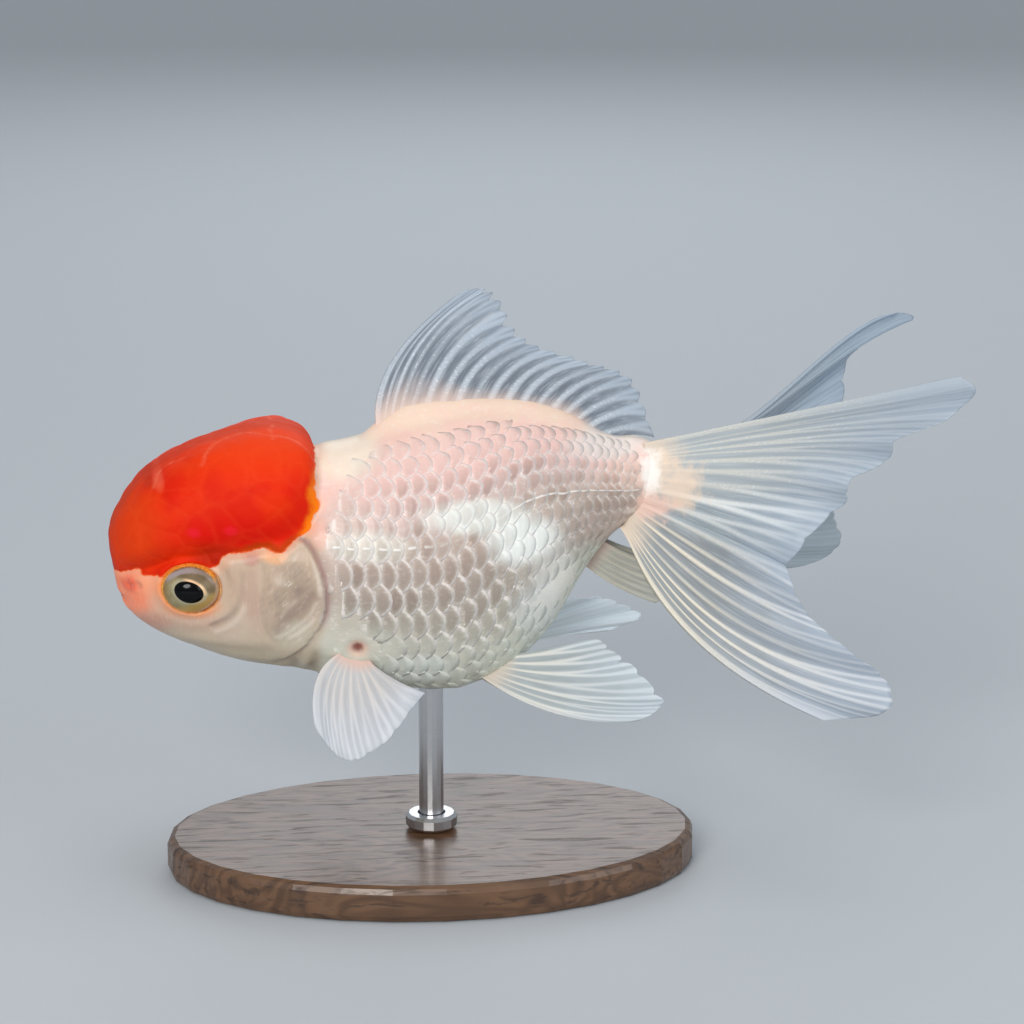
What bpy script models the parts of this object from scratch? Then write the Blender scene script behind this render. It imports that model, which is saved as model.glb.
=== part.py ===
"""A red-cap oranda goldfish, a still life-size model held on a small display stand.

The fish faces -X, its left side faces -Y and +Z is up. The origin is the centre of the
underside of the stand. Sizes are in millimetres, and MM turns them into metres.
"""

import math

import bmesh
import bpy
from mathutils import Vector

MM = 0.001
GAP = 0.3  # left between neighbours

# The body without its hood, from the snout to the end of the tail stalk. Each station is
# x, height of the back, height of the belly, half width, height of the widest level.
BODY = (
    (-50.3, 48.9, 48.9, 0.0, 48.9),  # tip of the snout
    (-49.1, 52.2, 45.9, 4.4, 49.0),  # lips
    (-45.2, 57.2, 42.3, 8.7, 49.3),  # nostrils
    (-38.4, 62.6, 39.0, 11.6, 49.8),  # eyes
    (-30.2, 67.0, 36.1, 13.6, 50.0),  # cheeks
    (-22.0, 69.6, 34.7, 14.7, 50.0),  # gill covers
    (-13.6, 71.5, 32.5, 15.5, 50.4),  # shoulders
    (-5.0, 74.4, 30.8, 16.1, 51.0),  # front of the dorsal fin
    (4.0, 76.6, 30.4, 15.9, 52.0),  # deepest belly
    (12.0, 76.6, 33.2, 14.6, 54.2),
    (19.5, 75.3, 39.8, 11.8, 57.6),  # vent
    (26.5, 72.8, 49.8, 7.8, 61.3),  # root of the tail stalk
    (31.5, 70.9, 55.2, 5.3, 63.0),
    (35.6, 69.8, 56.0, 3.4, 63.2),  # root of the tail
    (37.2, 63.4, 63.4, 0.0, 63.4),  # end of the flesh
)
# The hood, the same way.
HOOD = (
    (-51.3, 56.6, 56.6, 0.0, 56.6),  # lobe over the snout
    (-50.3, 60.6, 53.0, 5.6, 56.8),
    (-46.6, 66.0, 52.4, 9.8, 57.6),
    (-40.2, 70.6, 54.6, 12.4, 60.0),  # over the eyes
    (-32.4, 73.6, 56.2, 13.9, 61.0),
    (-25.4, 75.0, 57.6, 14.3, 62.4),  # crown
    (-20.6, 74.0, 60.0, 13.5, 64.4),
    (-18.6, 71.2, 62.6, 11.4, 66.4),
    (-17.9, 66.6, 66.6, 0.0, 66.6),  # margin at the nape
)
HOOD_LOBES = 5  # rounded swellings along the hood
HOOD_LOBE_HEIGHT = 0.45
ROUNDNESS_ABOVE = 2.05  # superellipse powers of the cross section
ROUNDNESS_BELOW = 2.3
HOOD_ROUNDNESS = 2.55
TAIL_ROOT_LEAN = 0.40  # the flesh reaches further back along the top of the tail
LEAST_REACH = 0.1  # of a section, where a form is shrunk near its ends
BODY_SIDES, BODY_RINGS = 24, 38
HOOD_SIDES, HOOD_RINGS = 22, 16

HEAD_END = -16.4  # thin cuts across the body
STALK_START = 25.0

EYE_CENTRE = (-38.4, 10.0, 50.9)
EYE_RADIUS = 4.5
EYE_FLATTENING = 0.92

GILL_COVER_CENTRE = (-22.5, 47.5)  # x and z of its middle
GILL_COVER_HALF = (4.7, 9.4)
GILL_COVER_RISE = 0.5
GILL_COVER_DEPTH = 1.4

JAW_HINGE = (-45.6, 46.4)  # x and z of the corner of the mouth
JAW_SLOPE = math.radians(-13)
JAW_HALF_WIDTH = 3.6

FIN_THICKNESS = 0.8
SCALLOP_DEPTH = 0.04  # of a ray's length
SWAY_PEAK = 0.0962  # of v (1 - v) (1 - 2 v)
RIGHT_LOBE_SWAY = 2.2

BASE_LENGTH, BASE_WIDTH, BASE_HEIGHT = 86.0, 56.0, 6.0
BASE_BEVEL = 1.2
ROD_X = 0.0
ROD_RADIUS = 2.0
ROD_TOP = 40.0  # before the belly cuts it
SOCKET_DEPTH = 3.5
COLLAR_RADIUS, COLLAR_HEIGHT = 4.2, 2.4

PEARL = (0.55, 0.50, 0.47)
CAP_RED = (0.80, 0.06, 0.01)
FACE = (0.62, 0.40, 0.30)
EYE_GOLD = (0.45, 0.36, 0.18)
FIN_GREY = (0.45, 0.52, 0.60)
WALNUT = (0.06, 0.03, 0.015)
STEEL = (0.60, 0.60, 0.62)


# Scene, materials and objects


def clear_scene():
    for item in list(bpy.data.objects):
        bpy.data.objects.remove(item)


def new_collection(name):
    collection = bpy.data.collections.new(name)
    bpy.context.scene.collection.children.link(collection)
    return collection


def add_object(name, shape, colour, roughness=0.45, metallic=0.0):
    """A visible node of the fish or its stand, with a material of its own."""
    mesh = bpy.data.meshes.new(name)
    shape.to_mesh(mesh)
    shape.free()
    mesh.shade_smooth()
    mesh.set_sharp_from_angle(angle=math.radians(40))
    material = bpy.data.materials.new(name)
    material.use_nodes = True
    shader = material.node_tree.nodes["Principled BSDF"]
    shader.inputs["Base Color"].default_value = (*colour, 1.0)
    shader.inputs["Roughness"].default_value = roughness
    shader.inputs["Metallic"].default_value = metallic
    mesh.materials.append(material)
    node = bpy.data.objects.new(name, mesh)
    fish.objects.link(node)
    return node


def add_cutter(name, shape):
    mesh = bpy.data.meshes.new(name)
    shape.to_mesh(mesh)
    shape.free()
    cutter = bpy.data.objects.new(name, mesh)
    cutter.hide_render = True
    cutter.display_type = "WIRE"
    cutters.objects.link(cutter)
    return cutter


def combine(node, other, operation="DIFFERENCE"):
    """Cuts the node with another object, or keeps only what the two share."""
    modifier = node.modifiers.new(f"{operation.title()} {other.name}", "BOOLEAN")
    modifier.operation = operation
    modifier.object = other


# Curves and lofts


def along(keys, t, row_beyond):
    """Catmull-Rom curve through rows of numbers, where row i is reached at t = i."""
    last = len(keys) - 1
    i = min(int(t), last - 1)
    f = t - i
    start, end = keys[i], keys[i + 1]
    before = keys[i - 1] if i > 0 else row_beyond(start, end)
    after = keys[i + 2] if i + 2 <= last else row_beyond(end, start)
    return [
        b + 0.5 * f * ((c - a) + f * ((2 * a - 5 * b + 4 * c - d) + f * (3 * (b - c) + d - a)))
        for a, b, c, d in zip(before, start, end, after)
    ]


def round_end(end, inner):
    """The row beyond the end of a loft, which mirrors all but x, so that the end is round."""
    return (inner[0],) + tuple(2 * e - i for e, i in zip(end[1:], inner[1:]))


def straight_end(end, inner):
    return tuple(2 * e - i for e, i in zip(end, inner))


def turn_outwards(form):
    form.normal_update()
    bmesh.ops.recalc_face_normals(form, faces=form.faces)


def section_point(station, angle, above, below, grow):
    """A point of the superellipse at one station, at an angle round the body from +Y."""
    x, back, belly, half, level = station
    c, s = math.cos(angle), math.sin(angle)
    power = 2 / (above if s > 0 else below)
    width = max(LEAST_REACH, half + grow)
    reach = max(LEAST_REACH, (back - level if s > 0 else level - belly) + grow)
    y = math.copysign(abs(c) ** power, c) * width
    z = level + math.copysign(abs(s) ** power, s) * reach
    return x, y, z


def loft(keys, sides, rings, above, below, grow=0.0, detail=None):
    """A closed form through the stations, from a sphere whose poles are the two ends."""
    form = bmesh.new()
    bmesh.ops.create_uvsphere(form, u_segments=sides, v_segments=rings, radius=1.0)
    for vert in form.verts:
        t = math.acos(max(-1.0, min(1.0, vert.co.z))) / math.pi * (len(keys) - 1)
        angle = math.atan2(vert.co.y, vert.co.x)
        station = along(keys, t, round_end)
        pole = abs(vert.co.z) > 0.99999
        if pole:
            point = (station[0] - math.copysign(grow, vert.co.z), 0.0, station[4])
        else:
            point = section_point(station, angle, above, below, grow)
        if detail:
            point = detail(t, angle, station, point)
        vert.co = Vector(point) * MM
    turn_outwards(form)
    return form


def lean_tail_root(t, angle, station, point):
    x, y, z = point
    start = len(BODY) - 5
    ramp = max(0.0, min(1.0, (t - start) / (len(BODY) - 2 - start)))
    return x + TAIL_ROOT_LEAN * ramp * (z - station[4]), y, z


def swell_lobes(t, angle, station, point):
    """Soft swellings over the hood, in staggered rows along and across it."""
    x, y, z = point
    wave = math.sin(t * math.pi * HOOD_LOBES / (len(HOOD) - 1) + 0.6) * math.cos(3 * angle)
    swell = HOOD_LOBE_HEIGHT * wave * math.sin(math.pi * t / (len(HOOD) - 1))
    outward = Vector((0.0, y, z - station[4])).normalized()
    return x, y + outward.y * swell, z + outward.z * swell


def body_form(grow=0.0):
    return loft(BODY, BODY_SIDES, BODY_RINGS, ROUNDNESS_ABOVE, ROUNDNESS_BELOW, grow, lean_tail_root)


def hood_form(grow=0.0):
    return loft(HOOD, HOOD_SIDES, HOOD_RINGS, HOOD_ROUNDNESS, HOOD_ROUNDNESS, grow, swell_lobes)


def keep_between(form, start=None, end=None):
    """Keeps what lies between two planes across the body, and closes each cut."""
    for x, outer in ((start, -1), (end, 1)):
        if x is None:
            continue
        cut = bmesh.ops.bisect_plane(
            form,
            geom=form.verts[:] + form.edges[:] + form.faces[:],
            plane_co=(x * MM, 0, 0),
            plane_no=(outer, 0, 0),
            clear_outer=True,
        )
        rim = [part for part in cut["geom_cut"] if isinstance(part, bmesh.types.BMEdge)]
        bmesh.ops.contextual_create(form, geom=rim)
    turn_outwards(form)
    return form


# Head


def eye_form(side, grow=0.0):
    form = bmesh.new()
    bmesh.ops.create_uvsphere(form, u_segments=16, v_segments=10, radius=(EYE_RADIUS + grow) * MM)
    for vert in form.verts:
        # The ball is a little flat along its sight line, which is side to side.
        x, y, z = vert.co
        vert.co = Vector((x, z * EYE_FLATTENING * side, y)) + Vector(
            (EYE_CENTRE[0], EYE_CENTRE[1] * side, EYE_CENTRE[2])
        ) * MM
    turn_outwards(form)
    return form


def side_prism(side, centre, half, grow, squareness=2.6, segments=24):
    """An oval block that runs outwards from near the middle plane, past the flank."""
    form = bmesh.new()
    bmesh.ops.create_cone(form, cap_ends=True, segments=segments, radius1=1, radius2=1, depth=1)
    for vert in form.verts:
        angle = math.atan2(vert.co.y, vert.co.x)
        c, s = math.cos(angle), math.sin(angle)
        power = 2 / squareness
        x = centre[0] + math.copysign(abs(c) ** power, c) * (half[0] + grow)
        z = centre[1] + math.copysign(abs(s) ** power, s) * (half[1] + grow)
        y = (11.0 + 18.0 * vert.co.z) * side
        vert.co = Vector((x, y, z)) * MM
    turn_outwards(form)
    return form


def jaw_block(grow=0.0):
    """A block that holds the lower lip and chin, up to the line of the mouth."""
    form = bmesh.new()
    bmesh.ops.create_cube(form, size=1.0)
    for vert in form.verts:
        x = vert.co.x * 16 - 8 + (grow if vert.co.x > 0 else 0)
        z = vert.co.z * 12 - 6 + (grow if vert.co.z > 0 else 0)
        turned_x = x * math.cos(JAW_SLOPE) - z * math.sin(JAW_SLOPE)
        turned_z = x * math.sin(JAW_SLOPE) + z * math.cos(JAW_SLOPE)
        y = vert.co.y * 2 * (JAW_HALF_WIDTH + grow)
        vert.co = Vector((JAW_HINGE[0] + turned_x, y, JAW_HINGE[1] + turned_z)) * MM
    turn_outwards(form)
    return form


def build_head():
    head = add_object("head", keep_between(body_form(), end=HEAD_END), FACE)
    hood = add_object("hood", hood_form(), CAP_RED, 0.5)
    jaw = add_object("lower_jaw", body_form(), FACE)
    combine(jaw, add_cutter("jaw_block", jaw_block()), "INTERSECT")
    combine(head, add_cutter("jaw_gap", jaw_block(GAP)))
    combine(head, add_cutter("hood_bed", hood_form(GAP)))
    core = add_cutter("gill_cover_inside", body_form(-GILL_COVER_DEPTH))
    bed = add_cutter("gill_cover_bed", body_form(-GILL_COVER_DEPTH - GAP))
    for side, name in ((-1, "left"), (1, "right")):
        cover = add_object(f"gill_cover_{name}", body_form(GILL_COVER_RISE), FACE)
        outline = side_prism(side, GILL_COVER_CENTRE, GILL_COVER_HALF, 0.0)
        combine(cover, add_cutter(f"gill_cover_outline_{name}", outline), "INTERSECT")
        combine(cover, core)
        pocket = add_cutter(
            f"gill_pocket_{name}", side_prism(side, GILL_COVER_CENTRE, GILL_COVER_HALF, GAP)
        )
        combine(pocket, bed)
        combine(head, pocket)
        add_object(f"eye_{name}", eye_form(side), EYE_GOLD, 0.12)
        socket = add_cutter(f"eye_socket_{name}", eye_form(side, GAP))
        combine(head, socket)
        combine(hood, socket)


# Trunk and tail stalk


def build_trunk():
    add_object("trunk", keep_between(body_form(), HEAD_END + GAP, STALK_START - GAP), PEARL)
    add_object("tail_stalk", keep_between(body_form(), start=STALK_START), PEARL)


# Fins. A fin is told by a few of its rays, each by its root, its middle and its tip.

DORSAL_RAYS = (
    ((-8.0, 0, 71.5), (-6.2, 0.3, 83.2), (6.2, 0.8, 95.4)),
    ((-5.0, 0, 72.0), (-0.2, 0.2, 86.0), (10.4, 0.6, 94.6)),
    ((3.0, 0, 74.0), (6.8, -0.4, 83.0), (14.6, -0.8, 87.2)),
    ((12.0, 0, 74.0), (15.6, -0.5, 80.8), (22.8, -1.0, 83.2)),
    ((20.0, 0, 73.0), (24.2, 0.0, 77.6), (31.0, 0.2, 79.6)),
    ((26.0, 0, 70.6), (30.8, 0.4, 72.4), (35.8, 0.9, 71.6)),
)
PECTORAL_RAYS = (
    ((-14.6, 12.0, 40.3), (-19.6, 16.0, 37.0), (-19.6, 20.0, 29.6)),
    ((-14.0, 12.0, 40.0), (-16.4, 17.2, 33.6), (-15.4, 21.4, 25.3)),
    ((-12.8, 12.0, 39.7), (-11.8, 17.4, 33.8), (-9.6, 21.4, 27.4)),
    ((-12.0, 12.0, 39.4), (-7.8, 16.6, 37.0), (-3.2, 18.6, 34.4)),
)
PELVIC_RAYS = {
    "left": (
        ((7.0, 5.6, 33.6), (18.6, 17.6, 30.5), (31.2, 25.6, 31.7)),
        ((8.0, 5.6, 34.2), (20.4, 17.4, 33.0), (34.2, 26.6, 34.8)),
        ((9.4, 5.8, 35.2), (19.8, 14.6, 36.4), (29.6, 21.4, 39.6)),
        ((10.6, 6.0, 36.4), (18.0, 9.8, 39.0), (25.4, 12.6, 41.2)),
    ),
    "right": (
        ((7.0, 5.6, 33.6), (20.2, 15.4, 32.8), (33.6, 22.8, 31.8)),
        ((8.0, 5.6, 34.2), (21.6, 15.6, 34.2), (37.8, 24.4, 33.8)),
        ((9.4, 5.8, 35.2), (20.2, 13.6, 36.6), (31.8, 20.6, 37.8)),
        ((10.6, 6.0, 36.4), (17.8, 10.4, 38.6), (25.2, 15.0, 40.0)),
    ),
}
ANAL_RAYS = (
    ((24.6, 1.4, 50.4), (30.0, 3.2, 46.8), (36.4, 6.0, 44.6)),
    ((25.8, 1.4, 52.2), (31.8, 3.0, 48.8), (38.4, 5.4, 47.2)),
    ((27.2, 1.3, 54.4), (33.0, 2.4, 51.6), (38.0, 3.8, 50.6)),
)
TAIL_UPPER_RAYS = {
    "left": (
        ((35.0, 0.9, 69.3), (55.8, 10.6, 76.4), (75.4, 22.4, 84.7)),
        ((35.0, 1.2, 68.4), (57.2, 11.6, 74.6), (82.2, 25.2, 82.6)),
        ((34.0, 1.6, 66.4), (52.6, 12.4, 69.4), (71.2, 22.6, 75.0)),
        ((33.4, 1.8, 64.0), (48.0, 12.2, 63.6), (61.2, 19.6, 66.0)),
        ((32.8, 1.9, 61.0), (44.4, 11.2, 57.4), (54.4, 18.0, 53.7)),
    ),
    "right": (
        ((35.0, 0.9, 69.3), (57.6, 11.4, 74.8), (79.8, 24.8, 85.2)),
        ((35.0, 1.2, 68.4), (57.8, 12.0, 73.4), (83.0, 27.0, 83.6)),
        ((34.0, 1.6, 66.4), (54.6, 12.6, 69.4), (73.4, 23.4, 78.2)),
        ((33.4, 1.8, 64.0), (53.0, 13.0, 64.0), (70.2, 20.4, 69.0)),
        ((32.8, 1.9, 61.0), (50.0, 12.4, 58.6), (65.4, 20.0, 57.2)),
    ),
}
TAIL_LOWER_RAYS = {
    "left": (
        ((33.4, 1.9, 60.5), (44.2, 11.2, 56.9), (54.2, 18.0, 53.1)),
        ((33.0, 1.9, 59.2), (45.4, 13.4, 51.0), (58.4, 22.2, 45.6)),
        ((32.4, 1.8, 57.8), (46.4, 15.6, 45.4), (65.6, 26.2, 41.0)),
        ((31.8, 1.6, 56.6), (46.0, 17.2, 41.0), (70.2, 28.2, 35.0)),
        ((31.2, 1.5, 55.9), (40.4, 15.4, 41.6), (60.0, 25.6, 31.0)),
    ),
    "right": (
        ((33.4, 1.9, 60.5), (50.0, 12.4, 58.0), (65.2, 20.0, 56.6)),
        ((33.0, 1.9, 59.2), (51.0, 14.8, 53.6), (70.0, 24.6, 51.2)),
        ((32.4, 1.8, 57.8), (50.6, 17.0, 49.6), (72.2, 29.4, 45.6)),
        ((31.8, 1.6, 56.6), (48.4, 18.0, 46.4), (70.8, 31.0, 41.2)),
        ((31.2, 1.5, 55.9), (42.6, 16.4, 45.8), (64.2, 29.2, 39.8)),
    ),
}


def fin_form(rays, side, columns, rows, ripple=0.0, ripples=3.0, scallops=0, sway=0.0):
    """A curved open sheet whose columns follow the rays from the root to the margin.

    The ripple runs across the rays, the scallops notch the margin, and the sway bends the
    leading ray into a shallow S, first down and then up, and the others less and less.
    """
    form = bmesh.new()
    bmesh.ops.create_grid(form, x_segments=columns, y_segments=rows, size=0.5)
    for vert in form.verts:
        u, v = vert.co.x + 0.5, vert.co.y + 0.5
        t = u * (len(rays) - 1)
        root, middle, tip = (
            Vector(along([ray[place] for ray in rays], t, straight_end)) for place in range(3)
        )
        reach = v * (1 - SCALLOP_DEPTH * (0.5 - 0.5 * math.cos(2 * math.pi * scallops * u)))
        point = (
            root * (1 - reach) * (1 - 2 * reach)
            + middle * 4 * reach * (1 - reach)
            + tip * reach * (2 * reach - 1)
        )
        point.y += ripple * v * v * math.sin(2 * math.pi * ripples * u)
        point.z -= sway * (1 - u) * v * (1 - v) * (1 - 2 * v) / SWAY_PEAK
        point.y *= side
        vert.co = point * MM
    return form


def add_fin(name, rays, side, columns, rows, flesh, **shape):
    fin = add_object(name, fin_form(rays, side, columns, rows, **shape), FIN_GREY, 0.35)
    solid = fin.modifiers.new("Thickness", "SOLIDIFY")
    solid.thickness = FIN_THICKNESS * MM
    solid.offset = 0.0
    combine(fin, flesh)
    return fin


def build_fins():
    flesh = add_cutter("flesh_clearance", body_form(GAP))
    add_fin("dorsal_fin", DORSAL_RAYS, 1, 18, 7, flesh, ripple=0.4, ripples=2.5, scallops=9)
    for side, name in ((-1, "left"), (1, "right")):
        add_fin(f"pectoral_fin_{name}", PECTORAL_RAYS, side, 7, 7, flesh, ripple=0.4)
        add_fin(f"pelvic_fin_{name}", PELVIC_RAYS[name], side, 8, 8, flesh, ripple=0.5)
        add_fin(f"anal_fin_{name}", ANAL_RAYS, side, 6, 5, flesh, ripple=0.2)
        sway = RIGHT_LOBE_SWAY if name == "right" else 0.0
        upper, lower = TAIL_UPPER_RAYS[name], TAIL_LOWER_RAYS[name]
        add_fin(f"tail_{name}_upper", upper, side, 9, 9, flesh, ripple=0.7, sway=sway)
        add_fin(f"tail_{name}_lower", lower, side, 9, 9, flesh, ripple=0.7)
    return flesh


# Stand


def build_stand(flesh):
    plate = bmesh.new()
    bmesh.ops.create_cone(plate, cap_ends=True, segments=32, radius1=0.5, radius2=0.5, depth=1)
    for vert in plate.verts:
        x, y, z = vert.co
        vert.co = Vector((x * BASE_LENGTH, y * BASE_WIDTH, (z + 0.5) * BASE_HEIGHT)) * MM
    base = add_object("stand_base", plate, WALNUT, 0.35)
    rounded = base.modifiers.new("Rounded edge", "BEVEL")
    rounded.width = BASE_BEVEL * MM
    rounded.segments = 2
    socket = upright(ROD_RADIUS + GAP, BASE_HEIGHT - SOCKET_DEPTH, BASE_HEIGHT + 5)
    combine(base, add_cutter("stand_socket", socket))
    foot = BASE_HEIGHT - SOCKET_DEPTH + GAP
    rod = add_object("stand_rod", upright(ROD_RADIUS, foot, ROD_TOP), STEEL, 0.25, 1.0)
    combine(rod, flesh)
    low = BASE_HEIGHT + GAP
    collar = add_object(
        "stand_collar", upright(COLLAR_RADIUS, low, low + COLLAR_HEIGHT), STEEL, 0.25, 1.0
    )
    eased = collar.modifiers.new("Eased edge", "BEVEL")
    eased.width = 0.5 * MM
    eased.segments = 1
    bore = upright(ROD_RADIUS + GAP, 0.0, ROD_TOP)
    combine(collar, add_cutter("collar_bore", bore))


def upright(radius, low, high):
    """A round bar that stands on the line of the rod."""
    form = bmesh.new()
    bmesh.ops.create_cone(form, cap_ends=True, segments=16, radius1=1, radius2=1, depth=1)
    for vert in form.verts:
        x, y, z = vert.co
        vert.co = Vector((ROD_X + x * radius, y * radius, low + (z + 0.5) * (high - low))) * MM
    return form


clear_scene()
fish = new_collection("goldfish")
cutters = new_collection("cutters")
build_head()
build_trunk()
build_stand(build_fins())
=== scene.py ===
"""A red-cap oranda goldfish, life size, held in mid swim by a small walnut and steel stand.

The fish faces -X with its left side to -Y, and the table is at z = 0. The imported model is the
frame that every piece is built on. Lengths are named in millimetres, and MM turns them to metres.
"""

import math
import random

import bmesh
import bpy
import numpy as np
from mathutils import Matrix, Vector, noise
from mathutils.bvhtree import BVHTree


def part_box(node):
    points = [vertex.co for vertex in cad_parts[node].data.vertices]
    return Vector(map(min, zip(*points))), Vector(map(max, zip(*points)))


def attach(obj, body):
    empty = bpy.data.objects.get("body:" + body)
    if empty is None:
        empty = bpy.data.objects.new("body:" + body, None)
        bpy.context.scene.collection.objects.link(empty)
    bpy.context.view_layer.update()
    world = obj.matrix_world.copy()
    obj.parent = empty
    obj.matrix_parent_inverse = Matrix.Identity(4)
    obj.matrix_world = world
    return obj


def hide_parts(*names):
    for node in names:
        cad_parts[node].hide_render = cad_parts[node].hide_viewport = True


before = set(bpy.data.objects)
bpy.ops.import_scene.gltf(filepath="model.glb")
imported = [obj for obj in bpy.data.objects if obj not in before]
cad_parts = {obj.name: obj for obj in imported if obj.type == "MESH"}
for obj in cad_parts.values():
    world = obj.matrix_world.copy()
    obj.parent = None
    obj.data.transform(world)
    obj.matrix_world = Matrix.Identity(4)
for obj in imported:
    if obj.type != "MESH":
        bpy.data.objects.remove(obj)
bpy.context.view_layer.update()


# The room: a pale table top with painted light, darker near the fish and paler out to its wall where the
# lamps give less light, soft lamps above and beside it, and the camera, which looks a little down on the
# fish's left side from just ahead of it.

MM = 0.001
FISH_MIDDLE = Vector((0.0132, 0.0, 0.0589))
CAMERA_TURN, CAMERA_RISE, CAMERA_DISTANCE = math.radians(-6), math.radians(15), 0.6
TABLE_RADIUS, COVE_RADIUS, COVE_STEPS = 1.4, 2.2, 24  # the table top curves up into a wall
LENS_LENGTH, SENSOR_WIDTH = 131.84, 36.0
SKY_STRENGTH = 0.46
TABLE_TONE, WALL_TONE = (0.50, 0.53, 0.56), (0.93, 0.96, 1.0)
ROOM_TONE = (0.92, 0.96, 1.0)


class Wire:
    """The output of a material's node, on which sums are written as Python expressions."""

    def __init__(self, finish, socket):
        self.finish = finish
        self.socket = socket

    def sum(self, operation, first, second):
        return self.finish.node("ShaderNodeMath", {"operation": operation}, {0: first, 1: second})

    def __add__(self, other):
        return self.sum("ADD", self, other)

    def __sub__(self, other):
        return self.sum("SUBTRACT", self, other)

    def __rsub__(self, other):
        return self.sum("SUBTRACT", other, self)

    def __mul__(self, other):
        return self.sum("MULTIPLY", self, other)

    def __truediv__(self, other):
        return self.sum("DIVIDE", self, other)

    def __pow__(self, other):
        return self.sum("POWER", self, other)

    def __abs__(self):
        return self.finish.node("ShaderNodeMath", {"operation": "ABSOLUTE"}, {0: self})

    __radd__ = __add__
    __rmul__ = __mul__


def length(across, along):
    """How far out a place is, from its distances along two axes."""
    return (across * across + along * along) ** 0.5


class Finish:
    """A material on one Principled shader. Places in it are in millimetres."""

    def __init__(self, name, **constants):
        self.material = bpy.data.materials.new(name)
        self.material.use_nodes = True
        self.tree = self.material.node_tree
        self.shader = self.tree.nodes["Principled BSDF"]
        self.set(**constants)

    def set(self, **sockets):
        for name, value in sockets.items():
            self.feed(self.shader.inputs[name.replace("_", " ").title().replace("Ior", "IOR")], value)

    def feed(self, socket, value):
        if isinstance(value, Wire):
            self.tree.links.new(value.socket, socket)
        elif socket.type == "RGBA" and len(value) == 3:
            socket.default_value = (*value, 1.0)
        else:
            socket.default_value = value

    def node(self, kind, settings, inputs, output=0):
        made = self.tree.nodes.new(kind)
        for name, value in settings.items():
            if name == "stops":
                self.set_stops(made.color_ramp, value)
            else:
                setattr(made, name, value)
        for name, value in inputs.items():
            self.feed(made.inputs[name], value)
        return Wire(self, made.outputs[output])

    def set_stops(self, ramp, stops):
        while len(ramp.elements) < len(stops):
            ramp.elements.new(1.0)
        for element, (position, colour) in zip(ramp.elements, stops):
            element.position = position
            element.color = (*colour, 1.0)

    def place(self, stretch=(1.0, 1.0, 1.0)):
        """The place on the piece, in millimetres, with a pattern's stretch along each axis."""
        where = self.node("ShaderNodeTexCoord", {}, {}, "Object")
        scale = tuple(1 / (MM * length) for length in stretch)
        return self.node("ShaderNodeVectorMath", {"operation": "MULTIPLY"}, {0: where, 1: scale})

    def axis(self, name, where=None):
        return self.node("ShaderNodeSeparateXYZ", {}, {0: where or self.place()}, name)

    def attribute(self, name):
        return self.node("ShaderNodeAttribute", {"attribute_name": name}, {}, "Fac")

    def noise(self, size, detail, roughness=0.5, where=None, distortion=0.0):
        inputs = {"Vector": where or self.place(), "Scale": 1 / size, "Detail": detail}
        inputs.update({"Roughness": roughness, "Distortion": distortion})
        return self.node("ShaderNodeTexNoise", {}, inputs)

    def cells(self, size):
        inputs = {"Vector": self.place(), "Scale": 1 / size}
        return self.node("ShaderNodeTexVoronoi", {}, inputs, "Distance")

    def rise(self, value, low, high):
        """0 below low and 1 above high, with a soft slope between."""
        inputs = {"Value": value, "From Min": low, "From Max": high}
        return self.node("ShaderNodeMapRange", {"interpolation_type": "SMOOTHSTEP"}, inputs)

    def fall(self, value, low, high):
        """1 below low and 0 above high, with a soft slope between."""
        return 1 - self.rise(value, low, high)

    def mix(self, share, first, second, blend="MIX"):
        settings = {"data_type": "RGBA", "blend_type": blend}
        return self.node("ShaderNodeMix", settings, {0: share, 6: first, 7: second}, 2)

    def layered(self, tone, *layers):
        """A tone under layers, from the lowest up, each with its share and its colour."""
        for share, colour in layers:
            tone = self.mix(share, tone, colour)
        return tone

    def ramp(self, value, stops):
        return self.node("ShaderNodeValToRGB", {"stops": stops}, {0: value}, "Color")

    def bump(self, height, depth, strength, under=None):
        """A bump of that depth in millimetres."""
        inputs = {"Height": height, "Distance": depth * MM, "Strength": strength}
        if under:
            inputs["Normal"] = under
        return self.node("ShaderNodeBump", {}, inputs)


def add_piece(name, shape, finish=None):
    """A shape in millimetres becomes a smooth object in metres, with its place in its mesh."""
    mesh = bpy.data.meshes.new(name)
    bmesh.ops.scale(shape, vec=(MM, MM, MM), verts=shape.verts)
    shape.to_mesh(mesh)
    shape.free()
    mesh.shade_smooth()
    if finish:
        mesh.materials.append(finish.material)
    piece = bpy.data.objects.new(name, mesh)
    bpy.context.scene.collection.objects.link(piece)
    return piece


def add_lamp(name, place, size, power, tone):
    lamp = bpy.data.lights.new(name, "AREA")
    lamp.shape = "DISK"
    lamp.size = size
    lamp.energy = power
    lamp.color = tone
    holder = bpy.data.objects.new(name, lamp)
    holder.location = place
    holder.rotation_euler = (FISH_MIDDLE - Vector(place)).to_track_quat("-Z", "Y").to_euler()
    bpy.context.scene.collection.objects.link(holder)


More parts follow.
